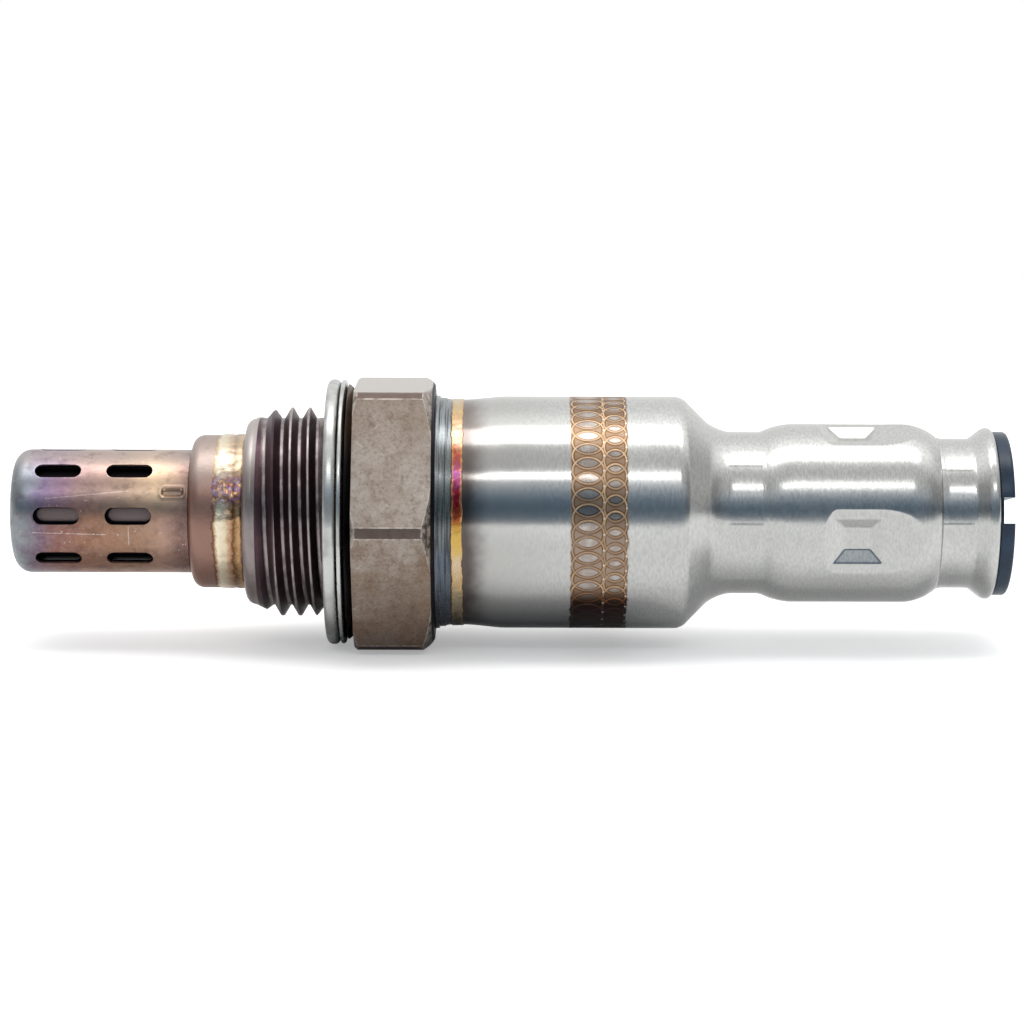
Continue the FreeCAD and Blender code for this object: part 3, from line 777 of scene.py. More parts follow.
@dataclass(frozen=True)
class TintedSteel(Finish):
    """The protector's steel, tinted by exhaust heat from blue-grey at the tip to gold and brown."""

    front: float
    radius: float
    # Painted shade for the slot walls and the inside of the tube.
    recess_shade: Colour = (0.010, 0.009, 0.018)
    scratch_colour: Colour = (0.80, 0.72, 0.68)
    lower: tuple[tuple[float, Colour], ...] = (
        (0.0, (0.25, 0.28, 0.29)), (1.1, (0.23, 0.25, 0.275)), (2.3, (0.18, 0.13, 0.18)), (4.2, (0.25, 0.12, 0.105)),
        (6.4, (0.31, 0.155, 0.098)), (10.3, (0.345, 0.20, 0.125)), (13.3, (0.44, 0.27, 0.195)),
        (14.3, (0.34, 0.21, 0.165)), (15.1, (0.22, 0.13, 0.105)),
    )
    # The upper stops are a lighter copy of the lower ones, as painted light on the tube's upper half; the stop at 12.3
    # holds a painted highlight near the clinch.
    upper: tuple[tuple[float, Colour], ...] = (
        (0.0, (0.26, 0.29, 0.30)), (1.4, (0.28, 0.31, 0.36)), (2.8, (0.26, 0.20, 0.33)), (4.6, (0.30, 0.19, 0.27)),
        (6.4, (0.38, 0.245, 0.23)), (9.5, (0.44, 0.30, 0.225)), (12.3, (0.74, 0.53, 0.34)),
        (14.0, (0.46, 0.31, 0.23)), (15.1, (0.20, 0.12, 0.105)),
    )
    # crown: a painted highlight along the top of the tube.
    crown: Colour = (0.47, 0.40, 0.37)
    scratches: tuple[tuple[tuple[float, float], tuple[float, float]], ...] = (
        ((3.3, 19.6), (10.3, 27.1)), ((2.2, -12.1), (8.4, -14.0)), ((10.3, -6.3), (10.3, -24.4)),
    )

    def material(self) -> bpy.types.Material:
        """Builds the tint along the tube, bent by noise, with painted light on its upper half and crown, fine drawing
        marks, scratches, and painted shade on the slot walls and inside.

        Returns:
            The material.
        """
        g = Graph(self.name)
        cloud = g.grain(0.22, 0.40, 3.0)
        bent = g.plus(g.place("x"), g.times(g.minus(cloud, 0.5), 4.0))
        lower, upper = (g.scale(bent, [(self.front + at, c) for at, c in stops]) for stops in (self.lower, self.upper))
        # Painted light: the upper half takes the lighter upper tint, and the top takes the pale crown as a painted
        # highlight.
        tint = g.mix(g.spread(g.place("rise"), 0.0, 0.45), lower, upper)
        tint = g.mix(g.spread(g.place("z"), 0.72 * self.radius, 0.95 * self.radius, 0.0, 0.6), tint, self.crown)
        fine = g.grain(2.4, 2.4, 5.0, 0.7)
        colour = g.mix(g.spread(fine, 0.35, 0.70, 0.0, 0.35), tint, g.mix(0.5, tint, (0.60, 0.50, 0.48)))
        patch = g.grain(0.7, 0.9, 5.0, 0.65)
        colour = g.mix(g.spread(patch, 0.50, 0.70, 0.0, 0.42), colour, (0.13, 0.085, 0.09))
        for (start, start_angle), (end, end_angle) in self.scratches:
            mark = g.scratch(self.radius, (self.front + start, start_angle), (self.front + end, end_angle), 0.055)
            colour = g.mix(g.times(mark, g.spread(fine, 0.35, 0.6, 0.1, 0.55)), colour, self.scratch_colour)
        specks = g.spread(g.grain(3.4, 3.4, 1.0), 0.72, 0.78, 0.0, 0.6)
        colour = g.mix(specks, colour, self.scratch_colour)
        # Painted shade: the slot walls and the inside of the tube, past its rounded end, go near black.
        deep = g.spread(g.place("r"), self.radius - 0.28, self.radius - 0.12, 1.0, 0.0)
        past_end = g.spread(g.place("x"), self.front + 1.9, self.front + 2.1)
        colour = g.mix(g.times(deep, past_end), colour, self.recess_shade)
        g.bump(g.plus(g.grain(1.6, 4.0, 3.0), g.times(fine, 0.4)), 0.004)
        return g.dress(colour, g.spread(patch, 0.3, 0.7, 0.30, 0.42), 1.0)


@dataclass(frozen=True)
class SlotShadedCup(Finish):
    """The cup seen through the slots: dull brown, with painted shade that outlines each slot on it and darkens its top
    and bottom.
    """

    slot_centres: tuple[float, ...]
    slot_length: float
    slot_width: float
    slot_count: int
    slot_angle: float
    reach: float
    shift_up: float = 0.06
    shift_back: float = 0.10
    brown: Colour = (0.30, 0.235, 0.22)
    # The colour of the painted shade, near black.
    recess_shade: Colour = (0.012, 0.010, 0.018)

    def slot_gap(self, g: Graph, centre: float) -> Socket:
        """How far a point is outside the outline of the nearest slot of a row.

        Args:
            g: the material's nodes.
            centre: the row's station.

        Returns:
            The distance, less than 0 inside the outline.
        """
        arc = math.radians(FULL_TURN / self.slot_count) * self.reach
        across = g.minus(g.off_nearest(self.slot_count, self.slot_angle, arc), self.shift_up)
        along = g.math("ABSOLUTE", g.minus(g.place("x"), centre + self.shift_back))
        past = g.math("MAXIMUM", g.minus(along, (self.slot_length - self.slot_width) / 2), 0.0)
        return g.minus(g.length(past, across), self.slot_width / 2)

    def material(self) -> bpy.types.Material:
        """Builds the brown steel and the painted shade round the slots and on the cup's top and bottom.

        Returns:
            The material.
        """
        g = Graph(self.name)
        grain = g.grain(0.6, 2.2, 3.0)
        colour = g.mix(grain, self.brown, g.mix(0.4, self.brown, (0.12, 0.09, 0.10)))
        gaps = [self.slot_gap(g, centre) for centre in self.slot_centres]
        # Painted shade: near black along each slot's outline, shifted so that it is thicker at the slot's front and
        # lower edges, and over the cup's top and bottom.
        shaded = g.spread(g.math("MINIMUM", *gaps), -0.26, -0.06)
        sides = g.spread(g.math("ABSOLUTE", g.place("rise")), 0.30, 0.48, 0.0, 0.9)
        shaded = g.math("MAXIMUM", shaded, sides)
        colour = g.mix(shaded, colour, self.recess_shade)
        g.bump(grain, 0.004)
        return g.dress(colour, 0.5, 0.9)


@dataclass(frozen=True)
class WeldedSkirtSteel(Finish):
    """The skirt's brown steel, with the cream, gold and blue tints of the weld at its rear."""

    weld_start: float
    weld_split: float
    weld_end: float
    brown: Colour = (0.33, 0.195, 0.155)
    # A paler copy of the brown for the top, as painted light.
    lit_top_brown: Colour = (0.43, 0.345, 0.31)
    rust: Colour = (0.15, 0.07, 0.04)
    cream: Colour = (0.90, 0.81, 0.62)
    tan: Colour = (0.60, 0.41, 0.26)
    gold: Colour = (0.58, 0.36, 0.18)
    # A paler copy of the weld tints for the top, as painted light.
    lit_top_weld: Colour = (0.66, 0.58, 0.45)

    def tints(self) -> list[tuple[float, Colour]]:
        """Lists the tints from the plain skirt through both weld bands.

        Returns:
            Each tint's station and its colour.
        """
        start, split, end = self.weld_start, self.weld_split, self.weld_end
        return [
            (start - 0.35, self.brown), (start - 0.18, self.rust), (start + 0.0, self.tan),
            (start + 0.16, self.cream), (start + 0.75, (0.76, 0.65, 0.47)), (split - 0.32, self.tan),
            (split - 0.06, (0.44, 0.25, 0.14)), (split + 0.12, self.rust), (split + 0.34, (0.34, 0.20, 0.09)),
            (end - 0.28, self.gold), (end - 0.06, (0.22, 0.15, 0.13)),
        ]

    def material(self) -> bpy.types.Material:
        """Builds the skirt's brown, the weld's bands with broken borders, and the blue flash where the weld ends.

        Returns:
            The material.
        """
        g = Graph(self.name)
        x, rise = g.place("x"), g.place("rise")
        rough = g.minus(g.grain(1.3, 1.3, 5.0, 0.6), 0.5)
        fine = g.minus(g.grain(4.5, 4.5, 4.0, 0.6), 0.5)
        bent = g.plus(x, g.plus(g.times(rough, 0.9), g.times(fine, 0.35)))
        # Painted light: the weld's tints and the plain brown turn paler toward the top.
        tint = g.mix(g.spread(rise, 0.35, 0.65, 0.0, 0.45), g.scale(bent, self.tints()), self.lit_top_weld)
        base = g.mix(g.spread(rise, 0.3, 0.75), self.brown, self.lit_top_brown)
        welded = g.spread(bent, self.weld_start - 0.42, self.weld_start - 0.30)
        hot = g.ramp(g.grain(2.2, 1.7, 4.0, 0.6), (
            (0.32, self.cream), (0.42, (0.62, 0.36, 0.16)), (0.49, (0.20, 0.05, 0.04)), (0.56, (0.22, 0.16, 0.34)),
            (0.66, (0.40, 0.30, 0.26)),
        ))
        in_front = g.spread(g.place("y"), 0.5, -0.5)
        flash = g.times(g.band(g.plus(rise, g.times(rough, 0.3)), 0.24, 0.58, 0.07), in_front)
        colour = g.mix(welded, base, g.mix(g.times(flash, 0.8), tint, hot))
        blotch = g.grain(0.9, 0.9, 5.0, 0.65)
        colour = g.mix(g.spread(blotch, 0.50, 0.78, 0.0, 0.5), colour, g.mix(0.5, colour, (0.10, 0.06, 0.05)))
        g.bump(g.plus(fine, g.times(rough, 0.6)), 0.02)
        roughness = g.spread(bent, self.weld_start - 0.3, self.weld_start + 0.1, 0.40, 0.26)
        return g.dress(colour, roughness, 1.0)


@dataclass(frozen=True)
class BrownedSteel(Finish):
    """The body's steel: grey-brown on the pilot, purple-brown in the thread, mottled brown on the hexagon."""

    thread_front: float
    root_radius: float
    crest_radius: float
    collar_front: float
    hex_front: float
    hex_rear: float
    front_face_radius: float
    rear_face_radius: float
    pilot_grey: Colour = (0.33, 0.29, 0.285)
    thread_dark: Colour = (0.060, 0.036, 0.045)
    thread_line: Colour = (0.42, 0.37, 0.36)
    hex_brown: Colour = (0.26, 0.185, 0.135)
    hex_grey: Colour = (0.43, 0.38, 0.335)
    hex_cone_shade: Colour = (0.065, 0.052, 0.055)
    hex_top_highlight: Colour = (0.62, 0.59, 0.56)
    # The colour of the painted edge highlights.
    edge_highlight: Colour = (0.62, 0.56, 0.50)
    collar_steel: Colour = (0.185, 0.20, 0.195)
    collar_lit_top: Colour = (0.27, 0.29, 0.295)
    collar_shaded_low: Colour = (0.13, 0.15, 0.18)

    def threaded(self, g: Graph, patch: Socket) -> Socket:
        """The thread: dark flanks, a light line on the crest that is part wear and part painted highlight, and a
        painted highlight line in the root.

        Args:
            g: the material's nodes.
            patch: wide noise.

        Returns:
            The thread's colour.
        """
        r = g.place("r")
        crest = g.spread(r, self.crest_radius - 0.09, self.crest_radius - 0.02)
        root = g.spread(r, self.root_radius + 0.02, self.root_radius + 0.07, 1.0, 0.0)
        flank = g.mix(g.spread(patch, 0.38, 0.7), self.thread_dark, (0.10, 0.058, 0.066))
        worn = g.grain(2.0, 0.8, 3.0)
        # Painted highlight: the light line in the root; on the crest the light line is part wear, part painted
        # highlight.
        lines = g.math("MAXIMUM", g.times(crest, g.spread(worn, 0.3, 0.6, 0.55, 1.0)),
                       g.times(root, g.spread(worn, 0.35, 0.65, 0.35, 0.8)))
        return g.mix(lines, flank, self.thread_line)

    def mottled(self, g: Graph, patch: Socket, speck: Socket) -> Socket:
        """The hexagon: mottled brown with painted light on top and painted shade underneath, browner near the top,
        dark on the turned corners, with a painted highlight on the top flat and edges, painted shade on the rear
        chamfer, and fine scratches.

        Args:
            g: the material's nodes.
            patch: wide noise.
            speck: fine noise.

        Returns:
            The hexagon's colour.
        """
        rise, r, x = g.place("rise"), g.place("r"), g.place("x")
        # The grey share grows toward the top, as painted light.
        colour = g.mix(g.times(g.spread(patch, 0.34, 0.64), g.spread(rise, -0.55, 0.0, 0.45, 1.0)),
                       self.hex_brown, self.hex_grey)
        drift = g.grain(1.1, 0.9, 5.0, 0.7)
        # Painted light and shade: grey comes in on the upper faces, the lower faces darken to near black, and the
        # faces near the top turn browner.
        colour = g.tinted(
            colour,
            Layer(rise, -0.10, 0.10, 0.0, 0.55, self.hex_grey), Layer(rise, 0.50, 0.76, 0.0, 0.42, self.hex_brown),
            Layer(drift, 0.47, 0.70, 0.0, 0.50, (0.18, 0.12, 0.085)),
            Layer(drift, 0.30, 0.48, 0.24, 0.0, (0.44, 0.39, 0.34)),
            Layer(rise, -0.45, -0.85, 0.0, 0.36, (0.17, 0.11, 0.085)),
            Layer(rise, -0.88, -0.95, 0.0, 0.60, (0.06, 0.04, 0.034)),
            Layer(speck, 0.48, 0.70, 0.0, 0.50, (0.13, 0.09, 0.067)),
            Layer(speck, 0.28, 0.46, 0.35, 0.0, (0.48, 0.41, 0.35)),
        )
        for slant in (0.8, -0.5):
            run = g.plus(g.times(x, 0.5), g.times(g.place("z"), slant * 0.5))
            lie = g.minus(g.times(g.place("z"), 5.0), g.times(x, slant * 5.0))
            hair = g.noise(g.vector(run, lie, g.times(g.place("y"), 0.6)), 1.0, 2.0)
            hair = g.times(g.spread(hair, 0.66, 0.72), g.spread(patch, 0.45, 0.6))
            colour = g.mix(g.times(hair, 0.45), colour, (0.66, 0.60, 0.54))
        # Painted highlight along the top flat.
        top = g.times(g.spread(rise, 0.80, 0.86), g.spread(g.place("z"), 10.85, 10.95))
        colour = g.mix(g.times(top, 0.85), colour, self.hex_top_highlight)
        off_corner = g.math("ABSOLUTE", g.off_nearest(6, 0.0, FULL_TURN / 6))
        colour = g.mix(g.spread(off_corner, 1.9, 2.2, 0.85, 0.0), colour, (0.11, 0.078, 0.068))
        slope = math.tan(math.radians(HEX_CHAMFER))
        drop = g.minus(x, g.times(g.minus(r, self.front_face_radius), slope))
        rear_drop = g.plus(x, g.times(g.minus(r, self.rear_face_radius), slope))
        rims = g.math("MAXIMUM", g.spread(drop, self.hex_front + 0.02, self.hex_front + 0.14, 1.0, 0.0),
                      g.spread(rear_drop, self.hex_rear - 0.14, self.hex_rear - 0.02))
        # Painted shade: the rear chamfer goes near black, less so on top.
        cone = g.times(g.spread(rear_drop, self.hex_rear - 0.05, self.hex_rear + 0.01),
                       g.spread(rise, 0.62, 0.95, 1.0, 0.25))
        colour = g.mix(g.times(cone, 0.9), colour, self.hex_cone_shade)
        # Painted highlight: light lines along the chamfers' rims and the turned corners' borders, broken up by noise.
        worn = g.spread(g.grain(1.4, 1.4, 4.0, 0.7), 0.36, 0.62)
        edge = g.math("MAXIMUM", g.times(rims, 0.9), g.band(off_corner, 1.95, 2.45, 0.15))
        return g.mix(g.times(g.times(edge, worn), 0.85), colour, self.edge_highlight)

    def material(self) -> bpy.types.Material:
        """Builds each stretch of the body and mixes them along the axis.

        Returns:
            The material.
        """
        g = Graph(self.name)
        x, rise = g.place("x"), g.place("rise")
        patch = g.grain(0.28, 0.28, 5.0, 0.62)
        speck = g.grain(3.6, 3.6, 5.0, 0.75)
        pilot = g.mix(g.spread(patch, 0.35, 0.65), self.pilot_grey, (0.25, 0.21, 0.20))
        # Painted light: the pilot turns paler toward the top.
        pilot = g.mix(g.spread(rise, 0.35, 0.75, 0.0, 0.8), pilot, (0.52, 0.47, 0.45))
        turning = g.grain(7.0, 0.25, 2.0)
        # Painted light and shade: the rear collar is dark below, plain in the middle and lighter on top; the turned
        # grooves are real marks.
        collar = g.tinted(
            self.collar_shaded_low,
            Layer(rise, -0.30, -0.02, 0.0, 1.0, self.collar_steel), Layer(rise, 0.45, 0.80, 0.0, 1.0, self.collar_lit_top),
            Layer(turning, 0.45, 0.62, 0.0, 0.7, (0.035, 0.04, 0.05)),
        )
        shadow = g.mix(g.spread(rise, 0.45, 0.95, 0.0, 0.6), (0.012, 0.010, 0.012), (0.16, 0.11, 0.07))
        on_thread = g.band(x, self.thread_front + 0.32, self.collar_front - 0.1, 0.05)
        colour = g.mix(on_thread, pilot, self.threaded(g, patch))
        mottled = self.mottled(g, patch, speck)
        colour = g.tinted(
            colour,
            Layer(x, self.collar_front - 0.1, self.collar_front, 0.0, 1.0, shadow),
            Layer(x, self.hex_front - 0.08, self.hex_front - 0.01, 0.0, 1.0, mottled),
            # Painted shadow: a near-black band in the groove just behind the hexagon.
            Layer(x, self.hex_rear - 0.21, self.hex_rear - 0.15, 0.0, 1.0, (0.010, 0.010, 0.014)),
            Layer(x, self.hex_rear + 0.10, self.hex_rear + 0.17, 0.0, 1.0, collar),
        )
        on_hex = g.band(x, self.hex_front - 0.1, self.hex_rear + 0.05, 0.05)
        height = g.plus(g.times(speck, on_hex), g.times(turning, 0.5))
        g.bump(height, 0.010)
        roughness = g.plus(g.spread(speck, 0.3, 0.7, 0.32, 0.42), g.times(on_hex, 0.08))
        roughness = g.minus(roughness, g.spread(x, self.hex_rear + 0.10, self.hex_rear + 0.17, 0.0, 0.11))
        return g.dress(colour, roughness, 0.92)


@dataclass(frozen=True)
class GasketSteel(Finish):
    """The gasket's bright rolled strip, with faint turning marks."""

    colour: Colour = (0.62, 0.63, 0.61)
    worn: Colour = (0.40, 0.40, 0.38)

    def material(self) -> bpy.types.Material:
        """Builds the strip's cloudy shine.

        Returns:
            The material.
        """
        g = Graph(self.name)
        cloud = g.grain(0.4, 0.4, 4.0)
        marks = g.grain(9.0, 0.5, 2.0)
        colour = g.mix(g.spread(cloud, 0.4, 0.7), self.colour, self.worn)
        g.bump(marks, 0.006)
        return g.dress(colour, g.spread(cloud, 0.3, 0.7, 0.24, 0.38), 1.0)


@dataclass(frozen=True)
class RingColumn:
    """One column of overlapping rings in the heat-marked band: half as wide and half as high as its two sizes."""

    centre: float
    half_width: float
    half_height: float
    count: int
    first_angle: float


@dataclass(frozen=True)
class CaseSteel(Finish):
    """The case's stainless steel: brushed round on the wide part, satin behind, with a heat-marked band of circles."""

    weld_rear: float
    brushed_end: float
    band_front: float
    band_rear: float
    wall_radius: float
    columns: tuple[RingColumn, ...]
    line_width: float = 0.10
    dot_radius: float = 0.11
    steel: Colour = (0.60, 0.60, 0.58)
    shade: Colour = (0.51, 0.515, 0.50)
    front_steel: Colour = (0.49, 0.485, 0.465)
    tint: Colour = (0.22, 0.18, 0.165)
    # The heat tint's darker copy for the lower side, as painted shade.
    shaded_tint: Colour = (0.085, 0.062, 0.055)
    inner: Colour = (0.35, 0.285, 0.245)
    line: Colour = (0.70, 0.49, 0.30)
    ground: Colour = (0.31, 0.20, 0.125)
    halo: Colour = (0.13, 0.066, 0.035)
    shaded_underside_ground: Colour = (0.030, 0.013, 0.008)
    # Painted shade for the underside of the wide part.
    under: Colour = (0.20, 0.195, 0.20)

    def column_masks(self, g: Graph, column: RingColumn) -> list[Socket]:
        """Measures where a column's rings are drawn.

        Args:
            g: the material's nodes.
            column: the column of rings.

        Returns:
            Masks of the rings' lines, of the lens where two rings overlap, of the dot beside each ring, and of the
            burnt halo along the lines.
        """
        pitch = math.radians(FULL_TURN / column.count) * self.wall_radius
        across = g.math("DIVIDE", g.minus(g.place("x"), column.centre), column.half_width)
        local = g.off_nearest(column.count, column.first_angle, pitch)
        lines, halos, gaps = [], [], []
        for neighbour in (-1, 0, 1):
            up = g.math("DIVIDE", g.plus(local, neighbour * pitch), column.half_height)
            gap = g.times(g.minus(g.length(up, across), 1.0), (column.half_width + column.half_height) / 2)
            reach = g.math("ABSOLUTE", gap)
            line = g.spread(reach, self.line_width * 0.35, self.line_width, 1.0, 0.0)
            lines.append(g.times(line, g.spread(up, -1.0, 0.2, 0.60, 1.0)))
            halos.append(g.spread(reach, self.line_width, self.line_width * 2.3, 1.0, 0.0))
            gaps.append(gap)
        lowest = g.math("MINIMUM", gaps[0], gaps[1])
        highest = g.math("MAXIMUM", gaps[0], gaps[1])
        second = g.math("MAXIMUM", lowest, g.math("MINIMUM", highest, gaps[2]))
        lens = g.spread(second, -0.05, 0.05, 1.0, 0.0)
        beside = g.minus(g.place("x"), column.centre + column.half_width)
        dot = g.spread(g.length(local, beside), self.dot_radius * 0.5, self.dot_radius, 1.0, 0.0)
        line, halo = (g.math("MAXIMUM", g.math("MAXIMUM", *masks[:2]), masks[2]) for masks in (lines, halos))
        return [line, lens, dot, halo]

    def marked(self, g: Graph, colour: Socket, patch: Socket) -> tuple[Socket, Socket, Socket]:
        """Lays the marked band over the steel, darkened to near black underneath as painted shade.

        Args:
            g: the material's nodes.
            colour: the steel's colour.
            patch: noise that makes the marks uneven.

        Returns:
            The colour with the band, a mask of the burnt ground and a mask of the rings' lines.
        """
        columns = [self.column_masks(g, column) for column in self.columns]
        line, lens, dot, halo = (g.math("MAXIMUM", *pair) for pair in zip(*columns))
        rise = g.place("rise")
        # Painted shade: below the middle, the band's ground, lens, halos and lines darken to near black.
        below = g.spread(rise, -0.48, -0.68)
        faint = g.band(rise, -0.42, 0.02, 0.10)
        # The ground is darker toward the very top.
        ground = g.mix(g.spread(rise, 0.80, 0.96, 0.0, 0.7), self.ground, (0.17, 0.10, 0.06))
        ground = g.mix(below, ground, self.shaded_underside_ground)
        burnt = g.minus(1.0, g.times(lens, g.spread(rise, -0.46, -0.66, 0.90, 0.15)))
        uneven = g.minus(g.spread(patch, 0.35, 0.62, 0.78, 1.0), g.times(faint, 0.28))
        uneven = g.math("MAXIMUM", uneven, below)
        inside = g.mix(g.spread(patch, 0.40, 0.62, 0.85, 0.40), colour, self.inner)
        inside = g.mix(g.times(below, 0.95), inside, self.shaded_underside_ground)
        banded = g.mix(g.times(burnt, uneven), inside, ground)
        halo = g.times(halo, g.spread(patch, 0.3, 0.6, 0.45, 0.95))
        banded = g.mix(halo, banded, g.mix(below, self.halo, self.shaded_underside_ground))
        # Painted shade: the ring lines darken toward the bottom.
        drawn = g.mix(g.spread(rise, -0.50, -0.62), self.line, (0.30, 0.13, 0.06))
        drawn = g.mix(g.spread(rise, -0.62, -0.72), drawn, (0.085, 0.05, 0.045))
        clear = g.times(g.spread(patch, 0.36, 0.6, 0.55, 1.0), g.minus(1.0, g.times(faint, 0.40)))
        banded = g.mix(g.times(line, clear), banded, drawn)
        banded = g.mix(g.times(dot, 0.8), banded, (0.85, 0.80, 0.70))
        ragged = g.plus(g.place("x"), g.times(g.minus(patch, 0.5), 0.5))
        band = g.band(ragged, self.band_front, self.band_rear, 0.09)
        return g.mix(band, colour, banded), g.times(band, burnt), g.times(band, line)

    def material(self) -> bpy.types.Material:
        """Builds the fine grain, the tint behind the weld, painted shade on the underside of the wide part, and the
        marked band.

        Returns:
            The material.
        """
        g = Graph(self.name)
        x = g.place("x")
        brush = g.grain(5.5, 2.2, 4.0, 0.6)
        grain = g.grain(7.5, 2.6, 3.0, 0.6)
        cloud = g.grain(0.45, 0.45, 3.0)
        brushed = g.spread(x, self.brushed_end - 0.4, self.brushed_end + 0.4, 1.0, 0.0)
        streak = g.plus(g.times(brush, brushed), g.times(grain, g.minus(1.0, brushed)))
        colour = g.mix(g.spread(streak, 0.36, 0.62), self.shade, self.steel)
        rise = g.place("rise")
        toward_weld = g.plus(x, g.times(cloud, 3.0))
        fading = g.spread(toward_weld, self.weld_rear + 3.0, self.band_front + 4.0, 0.8, 0.0)
        colour = g.mix(fading, colour, self.front_steel)
        # Painted shade: the underside of the wide part darkens to grey, up to just behind the marked band.
        low = g.times(g.spread(rise, -0.62, -0.90, 0.0, 0.85),
                      g.spread(x, self.band_front, self.band_rear + 3.0, 1.0, 0.0))
        colour = g.mix(low, colour, self.under)
        near_weld = g.plus(x, g.times(g.minus(cloud, 0.5), 1.6))
        hot = g.spread(near_weld, self.weld_rear + 0.2, self.weld_rear + 2.4, 1.0, 0.0)
        # The heat stain behind the weld is real; its darker copy toward the bottom is painted shade.
        heat_stain_and_shade = g.mix(g.spread(rise, 0.35, 0.75), self.shaded_tint, self.tint)
        colour = g.mix(g.times(hot, 0.92), colour, heat_stain_and_shade)
        colour, burnt, lined = self.marked(g, colour, g.grain(1.4, 1.4, 4.0, 0.6))
        deep = g.times(streak, g.minus(1.9, brushed))
        g.bump(g.plus(deep, g.times(lined, 0.9)), 0.0030)
        plain = g.plus(g.spread(cloud, 0.35, 0.65, 0.17, 0.14),
                       g.spread(x, self.band_front, self.band_rear, 0.0, 0.055))
        marks = g.math("MAXIMUM", g.times(burnt, 0.20), g.times(lined, 0.30))
        roughness = g.plus(plain, marks)
        return g.dress(colour, roughness, 1.0)


@dataclass(frozen=True)
class WeldBeadSteel(Finish):
    """The case weld's bead: heat tints that run round it, from pale gold through red and violet to yellow."""

    centre: float
    tints: tuple[tuple[float, Colour], ...] = (
        # The lowest stops darken to near black underneath, as painted shade.
        (-75.0, (0.10, 0.09, 0.07)), (-56.0, (0.34, 0.27, 0.18)), (-42.0, (0.56, 0.46, 0.30)),
        (-28.0, (0.62, 0.44, 0.23)), (-18.0, (0.66, 0.53, 0.36)), (-9.0, (0.66, 0.45, 0.12)),
        (-2.0, (0.62, 0.40, 0.09)), (2.0, (0.50, 0.20, 0.04)), (6.0, (0.36, 0.07, 0.03)),
        (11.0, (0.27, 0.015, 0.022)), (20.0, (0.31, 0.022, 0.045)), (24.0, (0.36, 0.07, 0.17)),
        (28.5, (0.37, 0.11, 0.28)), (32.0, (0.44, 0.11, 0.12)), (39.0, (0.46, 0.10, 0.05)),
        (44.0, (0.62, 0.27, 0.17)), (50.0, (0.64, 0.42, 0.33)), (62.0, (0.62, 0.42, 0.23)),
        (74.0, (0.62, 0.46, 0.25)), (86.0, (0.61, 0.51, 0.34)),
    )

    def material(self) -> bpy.types.Material:
        """Builds the tints round the bead, with their borders broken by noise, painted shade underneath and painted
        highlights along its borders.

        Returns:
            The material.
        """
        g = Graph(self.name)
        wobble = g.minus(g.grain(1.5, 0.9, 4.0), 0.5)
        rise = g.plus(g.place("rise"), g.times(wobble, 0.26))
        colour = g.scale(rise, [(math.sin(math.radians(angle)), tint) for angle, tint in self.tints])
        speck = g.grain(3.2, 2.2, 4.0)
        colour = g.mix(g.spread(speck, 0.56, 0.76, 0.0, 0.4), colour, (0.64, 0.46, 0.24))
        colour = g.mix(g.spread(speck, 0.26, 0.40, 0.35, 0.0), colour, g.mix(0.6, colour, (0.10, 0.04, 0.03)))
        off = g.math("ABSOLUTE", g.plus(g.minus(g.place("x"), self.centre), g.times(wobble, 0.3)))
        # Painted highlight: gold along both borders of the bead, then a dark line beyond each.
        colour = g.tinted(colour, Layer(off, 0.22, 0.40, 0.0, 0.55, (0.66, 0.42, 0.18)),
                          Layer(off, 0.46, 0.54, 0.0, 0.75, (0.08, 0.045, 0.03)))
        g.bump(speck, 0.02)
        return g.dress(colour, g.spread(speck, 0.3, 0.7, 0.22, 0.34), 1.0)


@dataclass(frozen=True)
class InsertPlastic(Finish):
    """The insert's moulded plastic, navy black with a fine moulded grain."""

    colour: Colour = (0.008, 0.024, 0.050)
    pale: Colour = (0.016, 0.042, 0.085)

    def material(self) -> bpy.types.Material:
        """Builds the grain and the faint flow marks.

        Returns:
            The material.
        """
        g = Graph(self.name)
        grain = g.grain(6.0, 6.0, 3.0)
        flow = g.grain(0.5, 0.5, 4.0)
        colour = g.mix(g.spread(flow, 0.4, 0.75), self.colour, self.pale)
        g.bump(grain, 0.006)
        g.feed(g.shader.inputs["Specular IOR Level"], 0.38)
        return g.dress(colour, g.spread(flow, 0.3, 0.7, 0.26, 0.34), 0.0)


# Sub-assemblies


class SubAssembly(ABC):
    """A group of the sensor's pieces that is made and dressed together."""

    @abstractmethod
    def build(self) -> list[bpy.types.Object]:
        """Makes the pieces, dresses them and returns them."""

    @staticmethod
    def dress(piece: bpy.types.Object, finish: Finish, slot: str, *nodes: str) -> bpy.types.Object:
        """Gives a piece its finish, and lets it stand for its solids.

        Args:
            piece: the piece.
            finish: its finish.
            slot: the record's material slot; not used.
            nodes: the solids that it stands for.

        Returns:
            The piece.
        """
        piece.data.materials.clear()
        piece.data.materials.append(finish.material())
        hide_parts(*nodes)
        return piece


